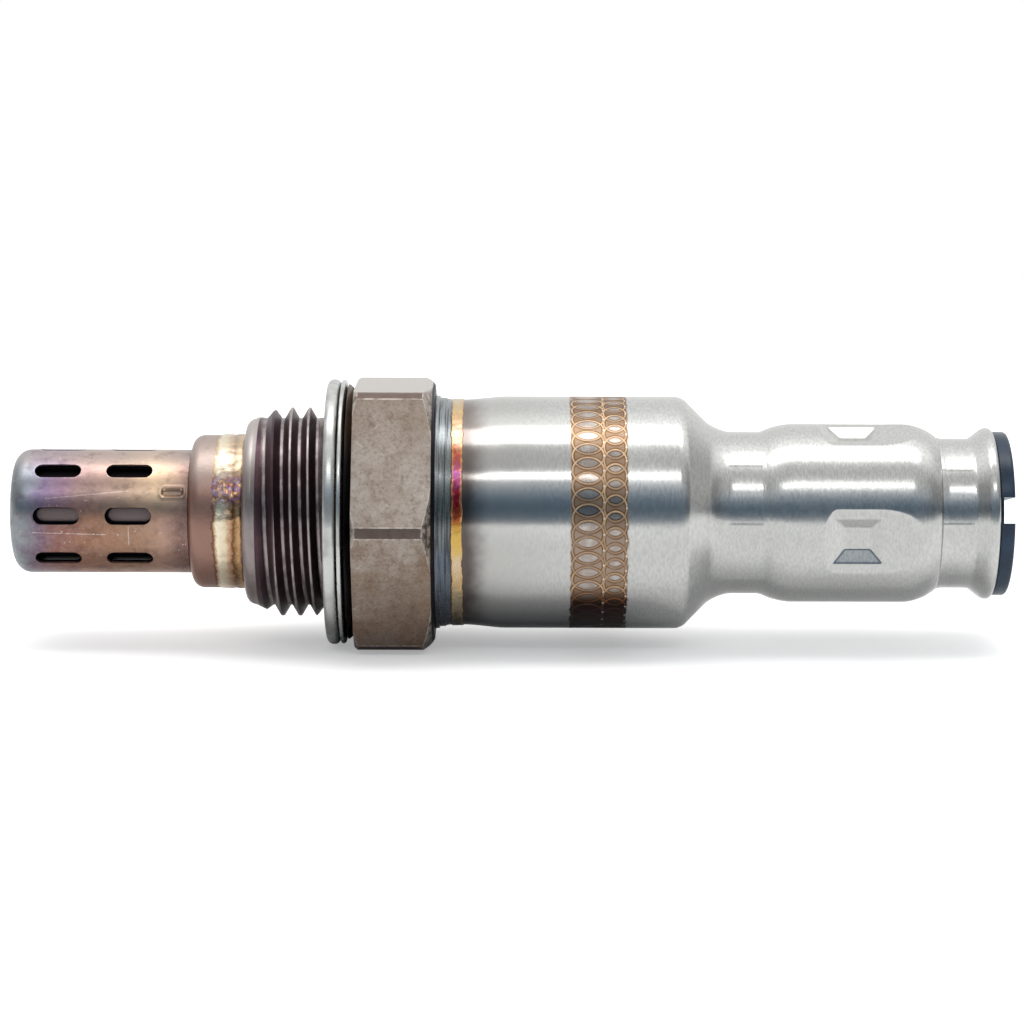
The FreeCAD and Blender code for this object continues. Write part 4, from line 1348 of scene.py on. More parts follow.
@dataclass
class Protector(SubAssembly):
    """The slotted tube and, inside it, the stepped cup whose skirt is welded to the body."""

    tube_front: float = -27.0
    tube_rear: float = -11.63
    tube_radius: float = 5.3
    tube_wall: float = 0.4
    tube_end_round: float = 1.4
    tube_dome: float = 0.16
    slot_length: float = 3.95
    slot_width: float = 1.5
    slot_count: int = 8
    slot_angle: float = 3.6
    slot_centres: tuple[float, ...] = (-22.80, -16.72)
    clinch_centre: float = -12.98
    clinch_length: float = 1.78
    clinch_width: float = 0.70
    clinch_corner: float = 0.22
    clinch_depth: float = 0.20
    clinch_lip: float = 0.05
    clinch_count: int = 3
    clinch_angle: float = 25.9
    ring_step: float = 0.22
    clinch_step: float = 0.075
    rim_round: float = 0.075
    skirt_front: float = -11.6
    skirt_rear: float = -6.95
    skirt_radius: float = 6.575
    skirt_round: float = 1.0
    collar_front: float = -14.3
    cup_front: float = -25.60
    cup_radius: float = 4.35
    cup_hole_radius: float = 0.6
    cup_hole_count: int = 6
    cup_hole_angle: float = 27.5
    cup_hole_station: float = -18.5
    sheet: float = 0.45
    weld_start: float = -9.2
    weld_split: float = -7.87
    weld_height: float = 0.07
    steps: int = 288

    def slot_tool(self) -> bmesh.types.BMesh:
        """Makes the punches of all the slots, each a bar with round ends that stands out from the axis.

        Returns:
            The punches' mesh.
        """
        bm = bmesh.new()
        half = self.slot_width / 2
        bmesh.ops.create_circle(bm, cap_ends=True, cap_tris=False, segments=26, radius=half)
        rotate(bm, bm.verts[:], 90, "X")
        straight = self.slot_length / 2 - half
        for side in (-1, 1):
            end = [v for v in bm.verts if v.co.x * side > 0]
            bmesh.ops.translate(bm, verts=end, vec=(side * straight, 0, 0))
        bmesh.ops.translate(bm, verts=bm.verts[:], vec=(self.slot_centres[0], -(self.tube_radius + 1), 0))
        extruded = bmesh.ops.extrude_face_region(bm, geom=bm.faces[:])
        moved = [v for v in extruded["geom"] if isinstance(v, bmesh.types.BMVert)]
        bmesh.ops.translate(bm, verts=moved, vec=(0, 2.0, 0))
        copied = bmesh.ops.duplicate(bm, geom=whole(bm))
        second = [v for v in copied["geom"] if isinstance(v, bmesh.types.BMVert)]
        bmesh.ops.translate(bm, verts=second, vec=(self.slot_centres[1] - self.slot_centres[0], 0, 0))
        ring_of(bm, self.slot_count, self.slot_angle)
        bmesh.ops.recalc_face_normals(bm, faces=bm.faces[:])
        return bm

    def press_clinches(self, bm: bmesh.types.BMesh) -> None:
        """Presses the clinch marks into the tube's wall, and raises a small lip round each.

        Args:
            bm: the tube's mesh.
        """
        for vert in bm.verts:
            radius = radius_of(vert.co)
            along = abs(vert.co.x - self.clinch_centre) - self.clinch_length / 2
            if radius < self.tube_radius - 0.05 or along > 0.4:
                continue
            offset = off_nearest(vert.co, self.clinch_count, self.clinch_angle)
            across = abs(math.radians(offset)) * self.tube_radius - self.clinch_width / 2
            corner = self.clinch_corner
            past = math.hypot(max(along + corner, 0.0), max(across + corner, 0.0)) - corner
            gap = past + min(max(along + corner, across + corner), 0.0)
            pressed = self.clinch_depth * (1.0 - smooth_step(gap, -0.13, 0.03))
            lip = self.clinch_lip * max(1.0 - ((gap - 0.15) / 0.14) ** 2, 0.0)
            set_radius(vert.co, radius - pressed + lip)

    def tube(self) -> bpy.types.Object:
        """Makes the slotted tube with its rounded end, its slots' edges softened by the punching.

        Returns:
            The dressed tube.
        """
        inner = self.tube_radius - self.tube_wall
        fine_from = self.clinch_centre - self.clinch_length / 2 - 0.4
        bm = bmesh.new()
        draw_outline(bm, (
            Corner(self.tube_front - self.tube_dome / 4, 0.0),
            Corner(self.tube_front + self.tube_dome, self.tube_radius, self.tube_end_round, 10),
            Corner(self.tube_rear, self.tube_radius, 0.08, 2),
            Corner(self.tube_rear, inner),
            Corner(self.tube_front + self.tube_wall + self.tube_dome, inner, self.tube_end_round - self.tube_wall),
            Corner(self.tube_front + self.tube_wall, 0.0),
        ))
        refine_outline(bm, (
            Fineness(self.tube_front + self.tube_end_round, self.tube_rear, self.tube_rear - self.tube_front - 3.0),
        ), lambda p: radius_of(p) > self.tube_radius - 0.05)
        stations = [self.tube_front + self.tube_end_round + 0.3]
        while stations[-1] < self.tube_rear - 0.2:
            stations.append(stations[-1] + (self.clinch_step if stations[-1] > fine_from else self.ring_step))
        cut_at(bm, stations)
        spin_outline(bm, self.steps)
        bm = carve(bm, self.slot_tool(), Cut.AWAY)
        first, last = self.slot_centres[0] - self.slot_length, self.tube_rear - 0.5
        rims = sharp_edges(bm, 50, lambda p: first < p.x < last and radius_of(p) > self.tube_radius - 0.06)
        soften(bm, rims, self.rim_round)
        self.press_clinches(bm)
        return self.dress(
            finish_piece(bm, "slotted_tube", 34.0),
            TintedSteel("heat_tinted_tube", self.tube_front, self.tube_radius),
            "tinted_steel", "outer_protector",
        )

    def roughen_weld(self, bm: bmesh.types.BMesh) -> None:
        """Raises the skirt's two weld bands and roughens them, as cooled metal is.

        Args:
            bm: the skirt's mesh.
        """
        for vert in bm.verts:
            if vert.co.x < self.weld_start or radius_of(vert.co) < self.skirt_radius - self.sheet / 2:
                continue
            if vert.co.x > self.skirt_rear - 0.02:
                continue
            bands = ((self.weld_start, self.weld_split), (self.weld_split, self.skirt_rear))
            lift = 0.0
            for start, end in bands:
                t = (vert.co.x - start) / (end - start)
                if 0.0 < t < 1.0:
                    lift = math.sin(math.pi * t) ** 0.6 * self.weld_height
            rough = noise.noise(vert.co * 1.6) * 0.05 + noise.noise(vert.co * 4.0) * 0.02
            rough *= smooth_step(vert.co.x, self.weld_start, self.weld_start + 0.4)
            set_radius(vert.co, radius_of(vert.co) + lift + rough)

    def skirt(self) -> bpy.types.Object:
        """Makes the stepped cup's rear: its collar in the tube and its skirt round the body's nose.

        Returns:
            The dressed skirt.
        """
        collar = self.tube_radius - self.tube_wall - 0.03
        inner_skirt = self.skirt_radius - 0.5
        bm = turned((
            Corner(self.collar_front, collar, 0.15, 3),
            Corner(self.skirt_front, collar + 0.02, 0.0),
            Corner(self.skirt_front, self.skirt_radius, self.skirt_round, 8),
            Corner(self.skirt_rear, self.skirt_radius),
            Corner(self.skirt_rear, inner_skirt),
            Corner(self.skirt_front + 0.5, inner_skirt),
            Corner(self.skirt_front + 0.5, collar - 0.4),
            Corner(self.collar_front, collar - 0.4),
        ), self.steps, (Fineness(self.weld_start - 0.3, self.skirt_rear, 0.13),))
        self.roughen_weld(bm)
        return self.dress(
            finish_piece(bm, "welded_skirt"),
            WeldedSkirtSteel("weld_tinted_skirt", self.weld_start, self.weld_split, self.skirt_rear),
            "tinted_steel", "inner_protector",
        )

    def cup(self) -> bpy.types.Object:
        """Makes the stepped cup's front, a narrow tube behind the slots, with a row of holes and one in its end.

        Returns:
            The dressed cup.
        """
        collar = self.tube_radius - self.tube_wall - 0.03
        wall, end = 0.4, self.collar_front + 0.02
        bm = turned((
            Corner(self.cup_front, 0.8),
            Corner(self.cup_front, self.cup_radius, 0.8),
            Corner(end - 0.7, self.cup_radius),
            Corner(end, collar - 0.02),
            Corner(end, collar - wall),
            Corner(end - 0.7, self.cup_radius - wall),
            Corner(self.cup_front + wall, self.cup_radius - wall, 0.8 - wall, 3),
            Corner(self.cup_front + wall, 0.8),
        ), self.steps // 2)
        holes = bmesh.new()
        add_rod(holes, self.cup_hole_radius, 2.0, 32, "X", (self.cup_hole_station, -self.cup_radius, 0))
        ring_of(holes, self.cup_hole_count, self.cup_hole_angle)
        bmesh.ops.recalc_face_normals(holes, faces=holes.faces[:])
        bm = carve(bm, holes, Cut.AWAY)
        finish = SlotShadedCup("slot_shaded_cup", self.slot_centres, self.slot_length, self.slot_width, self.slot_count,
                          self.slot_angle, self.tube_radius - 0.6)
        return self.dress(finish_piece(bm, "stepped_cup"), finish, "tinted_steel", "inner_protector")

    def build(self) -> list[bpy.types.Object]:
        """Makes the tube, the skirt and the cup."""
        return [self.tube(), self.skirt(), self.cup()]


@dataclass
class ThreadedBody(SubAssembly):
    """The steel body: pilot, thread, collar, hexagon and turned rear collar."""

    nose_front: float = -10.95
    nose_radius: float = 6.05
    bore_radius: float = 5.0
    pilot_front: float = -6.95
    pilot_radius: float = 8.0
    thread_front: float = -6.15
    thread_rear: float = -0.1
    crest_radius: float = 8.975
    root_radius: float = 8.05
    pitch: float = 1.5
    crest_station: float = -3.085
    crest_flat: float = 0.16
    root_flat: float = 0.26
    lead_in: float = 23.5
    run_out: float = 1.2
    relief_radius: float = 7.95
    collar_front: float = 1.75
    collar_front_radius: float = 11.1
    hex_front: float = 2.4
    hex_rear: float = 9.2
    collar_rear_radius: float = 10.45
    across_flats: float = 22.0
    corner_radius: float = 12.45
    front_face_radius: float = 11.9
    rear_face_radius: float = 10.95
    rear_collar: tuple[tuple[float, float], ...] = ((9.2, 10.05), (9.62, 10.0), (9.66, 9.86), (10.16, 9.83))
    groove_rear: float = 10.2
    case_front: float = 10.65
    case_radius: float = 9.7
    edge_round: float = 0.06
    spigot_radius: float = 9.15
    spigot_rear: float = 12.1
    steps: int = 216
    envelope_steps: int = 360
    thread_steps: int = 144

    def core(self) -> bmesh.types.BMesh:
        """Turns everything but the hexagon and the thread, with a core a little below the thread's root.

        Returns:
            The turned mesh.
        """
        core = self.root_radius - 0.12
        return turned((
            Corner(self.nose_front, self.bore_radius),
            Corner(self.nose_front, self.nose_radius),
            Corner(self.pilot_front, self.nose_radius),
            Corner(self.pilot_front, self.pilot_radius, 0.8, 8),
            Corner(self.thread_front + 0.05, self.pilot_radius),
            Corner(self.thread_front + 0.05, core),
            Corner(self.collar_front, core),
            Corner(self.collar_front, self.collar_front_radius, 0.1, 2),
            Corner(self.hex_front, self.collar_rear_radius),
            *(Corner(x, r) for x, r in self.rear_collar),
            Corner(self.groove_rear, self.case_radius + 0.07),
            Corner(self.case_front, self.case_radius),
            Corner(self.case_front, self.spigot_radius),
            Corner(self.spigot_rear, self.spigot_radius),
            Corner(self.spigot_rear, self.bore_radius),
        ), self.steps)

    def hexagon(self) -> bmesh.types.BMesh:
        """Makes the hexagon, its corners turned down and its two ends chamfered, with softened edges.

        Returns:
            The hexagon's mesh.
        """
        bm = bmesh.new()
        to_corner = self.across_flats / 2 / math.cos(math.radians(30))
        middle = (self.hex_front + self.hex_rear) / 2
        add_rod(bm, to_corner, self.hex_rear - self.hex_front, 6, "Y", (middle, 0, 0))
        rotate(bm, bm.verts[:], angle_of(next(v.co for v in bm.verts)), "X")
        slope = math.tan(math.radians(HEX_CHAMFER))
        front_drop = (self.corner_radius - self.front_face_radius) * slope
        rear_drop = (self.corner_radius - self.rear_face_radius) * slope
        envelope = turned((
            Corner(self.hex_front, 0.0),
            Corner(self.hex_front, self.front_face_radius),
            Corner(self.hex_front + front_drop, self.corner_radius),
            Corner(self.hex_rear - rear_drop, self.corner_radius),
            Corner(self.hex_rear, self.rear_face_radius),
            Corner(self.hex_rear, 0.0),
        ), self.envelope_steps)
        bm = carve(bm, envelope, Cut.KEEP)
        soften(bm, sharp_edges(bm, 1.6, lambda p: radius_of(p) > self.across_flats / 2 - 0.5), self.edge_round)
        return bm

    def thread(self) -> bmesh.types.BMesh:
        """Winds the right-handed thread: one pitch of its outline along the axis, trimmed at both ends.

        Returns:
            The thread's mesh.
        """
        bm = bmesh.new()
        turns = math.ceil((self.thread_rear - self.thread_front) / self.pitch) + 3
        start = self.crest_station - self.pitch * math.ceil((self.crest_station - self.thread_front) / self.pitch + 1)
        crest, root = self.crest_flat / 2, (self.pitch - self.root_flat) / 2
        outline = (
            Corner(-self.pitch / 2, self.root_radius), Corner(-root, self.root_radius, 0.08, 2),
            Corner(-crest, self.crest_radius, 0.08, 2), Corner(crest, self.crest_radius, 0.08, 2),
            Corner(root, self.root_radius, 0.08, 2), Corner(self.pitch / 2, self.root_radius),
        )
        draw_outline(bm, [Corner(start + c.x, c.r, c.fillet, c.segments) for c in outline], closed=False)
        bmesh.ops.spin(
            bm, geom=bm.verts[:] + bm.edges[:], cent=(0, 0, 0), axis=(1, 0, 0),
            dvec=(self.pitch / self.thread_steps, 0, 0), angle=math.radians(FULL_TURN) * turns,
            steps=self.thread_steps * turns, use_merge=False, use_normal_flip=False, use_duplicate=False,
        )
        bmesh.ops.remove_doubles(bm, verts=bm.verts[:], dist=1e-3)
        self.lead(bm)
        for station, side in ((self.thread_front, -1), (self.thread_rear, 1)):
            bmesh.ops.bisect_plane(
                bm, geom=whole(bm), dist=1e-5, plane_co=(station, 0, 0), plane_no=(side, 0, 0), clear_outer=True,
            )
        ends = [e for e in bm.edges if e.is_boundary]
        bmesh.ops.holes_fill(bm, edges=ends, sides=0)
        bmesh.ops.recalc_face_normals(bm, faces=bm.faces[:])
        return bm

    def lead(self, bm: bmesh.types.BMesh) -> None:
        """Turns the thread's crests down to a cone at the front, and runs them out into the relief behind.

        Args:
            bm: the thread's mesh.
        """
        slope = math.tan(math.radians(self.lead_in))
        for vert in bm.verts:
            front = self.root_radius + (vert.co.x - self.thread_front) * slope
            rear = self.relief_radius + (self.thread_rear - vert.co.x) * self.run_out
            limit = max(min(front, rear), self.root_radius - 0.1)
            if radius_of(vert.co) > limit:
                set_radius(vert.co, limit)

    def build(self) -> list[bpy.types.Object]:
        """Makes the body of its turned core, its hexagon and its thread, which share one material.

        Returns:
            The three dressed pieces.
        """
        finish = BrownedSteel(
            "browned_body_steel", self.thread_front, self.root_radius, self.crest_radius, self.collar_front,
            self.hex_front, self.hex_rear, self.front_face_radius, self.rear_face_radius,
        )
        pieces = []
        for name, bm in (("turned_core", self.core()), ("hexagon", self.hexagon()), ("thread", self.thread())):
            pieces.append(self.dress(finish_piece(bm, name, 28.0), finish, "browned_steel", "metal_body"))
        shared = pieces[0].data.materials[0]
        for piece in pieces[1:]:
            piece.data.materials[0] = shared
        return pieces


@dataclass
class Gasket(SubAssembly):
    """The gasket ring: a strip folded over at the rim and again behind the thread."""

    sheet: float = 0.5
    gap: float = 0.1
    rim_edge: float = 0.34
    rim_radius: float = 11.4
    front_radius: float = 9.175
    fold_radius: float = 8.35
    steps: int = 216

    def build(self) -> list[bpy.types.Object]:
        """Makes the folded ring.

        Returns:
            The dressed ring, alone in a list.
        """
        fold, sheet, rim = 2 * self.sheet + self.gap, self.sheet, self.rim_radius
        rear = 3 * self.sheet + 2 * self.gap
        turn = self.sheet * 0.95
        bm = turned((
            Corner(0.0, self.front_radius, 0.1, 2),
            Corner(0.0, rim, turn, 8),
            Corner(fold, rim, turn, 8),
            Corner(fold, self.fold_radius + sheet),
            Corner(fold + self.gap, self.fold_radius + sheet),
            Corner(fold + self.gap, rim - 0.05, 0.12, 4),
            Corner(fold + self.gap + self.rim_edge, rim - 0.05, 0.15, 5),
            Corner(rear, rim - 1.3),
            Corner(rear, self.fold_radius, turn, 5),
            Corner(sheet + self.gap, self.fold_radius, turn, 5),
            Corner(sheet + self.gap, rim - sheet),
            Corner(sheet, rim - sheet),
            Corner(sheet, self.front_radius, 0.1, 2),
        ), self.steps)
        ring = finish_piece(bm, "folded_gasket")
        return [self.dress(ring, GasketSteel("bright_strip"), "bright_steel", "gasket_ring")]


@dataclass
class Case(SubAssembly):
    """The drawn case: welded at its front, crimped at two necks, and pressed with four dimples between them.

    The fields that end in cut or fine say how far apart the outline's points are.
    """

    front: float = 10.65
    front_radius: float = 9.7
    flare_start: float = 12.25
    flare_end: float = 14.85
    body_radius: float = 9.97
    shoulder: float = 30.31
    neck_front: float = 33.3
    neck_radius: float = 6.98
    rise: float = 37.12
    barrel: float = 38.56
    barrel_radius: float = 7.67
    fall: float = 50.59
    rear_neck: float = 52.45
    rear_neck_radius: float = 6.44
    rim_root: float = 55.04
    rim: float = 56.25
    rim_radius: float = 7.375
    rear: float = 57.0
    wall: float = 0.5
    jaw_count: int = 8
    jaw_angle: float = -0.9
    ridge_width: float = 0.26
    ridge_height: float = 0.013
    front_crimp: tuple[float, float] = (34.1, 37.0)
    rear_crimp: tuple[float, float] = (52.15, 54.75)
    crimp_depth: float = 0.03
    dimple_station: float = 44.98
    dimple_count: int = 4
    dimple_angle: float = -11.0
    dimple_depth: float = 0.68
    dimple_floor: tuple[float, float] = (2.2, 1.85)
    dimple_spread: tuple[float, float] = (1.04, 1.10)
    dimple_edge: float = 0.05
    facet_turn: float = 21.5
    facet_front: tuple[float, float] = (1.8, 0.42)
    facet_rear: tuple[float, float] = (1.8, 0.032)
    facet_edge: float = 0.035
    weld_height: float = 0.06
    weld_width: float = 1.05
    marked_band: tuple[float, float] = (20.72, 25.50)
    columns: tuple[RingColumn, ...] = (
        RingColumn(22.16, 1.32, 1.20, 46, 5.43), RingColumn(24.43, 0.93, 1.10, 46, 2.58),
    )
    dimple_reach: float = 2.6
    dimple_cut: float = 0.12
    dimple_fine: float = 0.13
    neck_fine: float = 0.18
    barrel_cut: float = 0.30
    barrel_fine: float = 0.31
    weld_fine: float = 0.12
    steps: int = 400
    weld_steps: int = 480

    def outline(self) -> tuple[Corner, ...]:
        """Lists the case's outside from its welded edge to its rim, and a plain way back along its inside.

        Returns:
            The outline's corners.
        """
        wall = self.wall
        return (
            Corner(self.front, self.front_radius),
            Corner(self.flare_start, self.front_radius, 8.0, 4),
            Corner(self.flare_end, self.body_radius, 8.0, 4),
            Corner(self.shoulder, self.body_radius, 1.35, 10),
            Corner(self.neck_front, self.neck_radius, 3.3, 12),
            Corner(self.rise, self.neck_radius, 0.9, 5),
            Corner(self.barrel, self.barrel_radius, 5.5, 10),
            Corner(self.fall, self.barrel_radius, 4.0, 10),
            Corner(self.rear_neck, self.rear_neck_radius, 1.1, 6),
            Corner(self.rim_root, self.rear_neck_radius, 0.5, 5),
            Corner(self.rim, self.rim_radius, 0.88, 6),
            Corner(self.rear, self.rim_radius, 0.48, 6),
            Corner(self.rear, self.rim_radius - wall + 0.01),
            Corner(self.rim, self.rim_radius - wall),
            Corner(self.rim_root, self.rear_neck_radius - wall),
            Corner(self.rear_neck, self.rear_neck_radius - wall),
            Corner(self.fall, self.barrel_radius - 1.6),
            Corner(self.barrel, self.barrel_radius - 1.6),
            Corner(self.rise, self.neck_radius - wall),
            Corner(self.neck_front, self.neck_radius - wall),
            Corner(self.shoulder - 0.6, self.body_radius - wall),
            Corner(self.flare_end, self.body_radius - wall),
            Corner(self.front, self.front_radius - wall),
        )

    def is_outside(self, point: Vector) -> bool:
        """Says whether a point of the outline is on the case's outside.

        Args:
            point: the point.

        Returns:
            Whether it is.
        """
        if point.x < self.neck_front:
            fall = (self.body_radius - self.neck_radius) / (self.neck_front - self.shoulder)
            slack = (point.x - self.shoulder) * fall
            return radius_of(point) > self.body_radius - max(slack, 0.0) - self.wall * 0.55 - 0.3
        return radius_of(point) > self.rear_neck_radius - self.wall * 0.4

    def press_dimples(self, bm: bmesh.types.BMesh) -> None:
        """Presses the four-sided dimples and the flattened patch round each of them.

        Args:
            bm: the case's mesh.
        """
        half_length, half_width = self.dimple_floor[0] / 2, self.dimple_floor[1] / 2
        flat = self.barrel_radius * math.cos(math.radians(self.facet_turn))
        for vert in bm.verts:
            along = vert.co.x - self.dimple_station
            radius = radius_of(vert.co)
            if not self.barrel < vert.co.x < self.rear_neck or radius < self.rear_neck_radius - 0.05:
                continue
            offset = off_nearest(vert.co, self.dimple_count, self.dimple_angle)
            turn = math.radians(offset)
            across, height = radius * math.sin(turn), radius * math.cos(turn)
            start, curl = self.facet_rear if along > 0 else self.facet_front
            height = smooth_min(height, flat + curl * max(abs(along) - start, 0.0) ** 2, self.facet_edge)
            slopes = (
                (abs(along) - half_length) / self.dimple_spread[0],
                (abs(across) - half_width) / self.dimple_spread[1],
            )
            height = smooth_min(height, flat - self.dimple_depth * (1.0 - max(*slopes, 0.0)), self.dimple_edge)
            turned_back = math.degrees(math.atan2(across, height))
            base = angle_of(vert.co) - offset
            vert.co = place(vert.co.x, math.hypot(across, height), base + turned_back)

    def press_crimp(self, bm: bmesh.types.BMesh, start: float, end: float, neck: float) -> None:
        """Presses the eight jaws into a neck, leaving a fine ridge between one jaw and the next.

        Args:
            bm: the case's mesh.
            start: where the jaws begin.
            end: where they end.
            neck: the radius that they press the neck to.
        """
        half_jaw = math.radians(FULL_TURN / self.jaw_count / 2)
        for vert in bm.verts:
            radius = radius_of(vert.co)
            if not start - 0.3 < vert.co.x < end + 0.3 or radius < neck - self.wall * 0.4:
                continue
            offset = off_nearest(vert.co, self.jaw_count, self.jaw_angle)
            across = abs(math.radians(offset)) * radius
            ridge = 1.0 - smooth_step(across, self.ridge_width * 0.25, self.ridge_width * 0.75)
            inside = smooth_step(vert.co.x, start - 0.06, start + 0.06) * (
                1.0 - smooth_step(vert.co.x, end - 0.06, end + 0.06))
            crown = self.crimp_depth * 0.5 * (1.0 - (across / (half_jaw * neck)) ** 2)
            pressed = min(radius, neck + 0.10) - self.crimp_depth + crown
            target = pressed + ridge * self.ridge_height
            set_radius(vert.co, radius + (min(target, radius + 0.04) - radius) * inside)

    def shell(self) -> bpy.types.Object:
        """Makes the case itself, pressed and crimped.

        Returns:
            The dressed case.
        """
        bm = bmesh.new()
        draw_outline(bm, self.outline())
        cut_at(bm, (*self.front_crimp, *self.rear_crimp))
        self.split_barrel(bm)
        first, last = self.dimple_station - self.dimple_reach, self.dimple_station + self.dimple_reach
        refine_outline(bm, (
            Fineness(self.neck_front, self.barrel, self.neck_fine),
            Fineness(self.barrel, first, self.barrel_fine),
            Fineness(first - 0.5, last + 0.5, self.dimple_fine),
            Fineness(last, self.rear_neck, self.barrel_fine),
            Fineness(self.rear_neck - 0.6, self.rim_root + 0.2, self.neck_fine),
        ), self.is_outside)
        spin_outline(bm, self.steps)
        self.press_dimples(bm)
        self.press_crimp(bm, *self.front_crimp, self.neck_radius)
        self.press_crimp(bm, *self.rear_crimp, self.rear_neck_radius)
        finish = CaseSteel(
            "stainless_case", self.front + self.weld_width, self.neck_front - 1.6, *self.marked_band,
            self.body_radius, self.columns,
        )
        return self.dress(finish_piece(bm, "crimped_case", 40.0), finish, "case_steel", "outer_case")

    def split_barrel(self, bm: bmesh.types.BMesh) -> None:
        """Divides the barrel's long outline finely under the dimples and coarsely beside them.

        Args:
            bm: the mesh that holds the case's outline.
        """
        stations: list[float] = []
        x = self.barrel + 1.4
        while x < self.fall - 1.0:
            stations.append(x)
            x += self.dimple_cut if abs(x - self.dimple_station) < self.dimple_reach else self.barrel_cut
        cut_at(bm, stations, self.is_outside)

    def weld(self) -> bpy.types.Object:
        """Makes the weld's bead, a low ring with ripples and uneven borders.

        Returns:
            The dressed bead.
        """
        top = self.front_radius + self.weld_height
        low = self.front_radius - 0.12
        start, end = self.front - 0.02, self.front + self.weld_width
        bm = turned((
            Corner(start, low),
            Corner(start + 0.06, top, 0.14, 4),
            Corner(end - 0.06, top, 0.14, 4),
            Corner(end, low),
        ), self.weld_steps, (Fineness(start, end, self.weld_fine),))
        for vert in bm.verts:
            side = (vert.co.x - (start + end) / 2) / (end - start)
            drift = noise.noise(vert.co * 0.9) * 0.10 + noise.noise(vert.co * 3.0) * 0.05
            vert.co.x += drift * side * 2.0
            ripple = 0.004 * math.sin(math.radians(angle_of(vert.co)) * 90.0 - side * 3.0)
            swell = noise.noise(vert.co * 1.1) * 0.03
            set_radius(vert.co, radius_of(vert.co) + ripple + swell)
        bead = finish_piece(bm, "case_weld", 60.0)
        return self.dress(bead, WeldBeadSteel("weld_bead", (start + end) / 2), "case_steel", "outer_case")

    def build(self) -> list[bpy.types.Object]:
        """Makes the case and its weld."""
        return [self.shell(), self.weld()]


@dataclass
class Insert(SubAssembly):
    """The dark moulded insert: four wells, a vent and a slot across its face."""

    front: float = 40.0
    body_radius: float = 5.85
    case_rear: float = 57.0
    rear: float = 58.2
    flange_radius: float = 7.035
    slot_width: float = 2.2
    slot_depth: float = 1.0
    slot_turn: float = 10.6
    well_circle: float = 4.0
    well_radius: float = 1.15
    well_depth: float = 8.0
    vent_radius: float = 1.0
    steps: int = 192

    def pins(self) -> bmesh.types.BMesh:
        """Makes the pins that leave the wells and the vent out of the mould.

        Returns:
            The pins' mesh.
        """
        bm = bmesh.new()
        add_rod(bm, self.well_radius, 2 * self.well_depth, 48, "Y", (self.rear, -self.well_circle, 0))
        ring_of(bm, 4, self.slot_turn - 45.0)
        add_rod(bm, self.vent_radius, 2 * self.well_depth, 48, "Y", (self.rear, 0, 0))
        bmesh.ops.recalc_face_normals(bm, faces=bm.faces[:])
        return bm

    def slot(self) -> bmesh.types.BMesh:
        """Makes the bar that leaves the slot across the face.

        Returns:
            The bar's mesh.
        """
        bm = bmesh.new()
        bmesh.ops.create_cube(bm, size=1.0)
        bmesh.ops.scale(bm, verts=bm.verts[:], vec=(2 * self.slot_depth, 4 * self.flange_radius, self.slot_width))
        bmesh.ops.translate(bm, verts=bm.verts[:], vec=(self.rear, 0, 0))
        ring_of(bm, 1, self.slot_turn)
        return bm

    def build(self) -> list[bpy.types.Object]:
        """Makes the insert.

        Returns:
            The dressed insert, alone in a list.
        """
        bm = turned((
            Corner(self.front, 0.0),
            Corner(self.front, self.body_radius),
            Corner(self.case_rear, self.body_radius),
            Corner(self.case_rear, self.flange_radius, 0.08, 2),
            Corner(self.rear, self.flange_radius, 0.28, 5),
            Corner(self.rear, 0.0),
        ), self.steps)
        bm = carve(bm, self.pins(), Cut.AWAY)
        bm = carve(bm, self.slot(), Cut.AWAY)
        rims = sharp_edges(bm, 50, lambda p: p.x > self.rear - 0.02 and radius_of(p) < self.flange_radius - 0.3)
        soften(bm, rims, 0.08)
        return [self.dress(
            finish_piece(bm, "slotted_insert"), InsertPlastic("navy_plastic"), "insert_plastic", "terminal_insert",
        )]


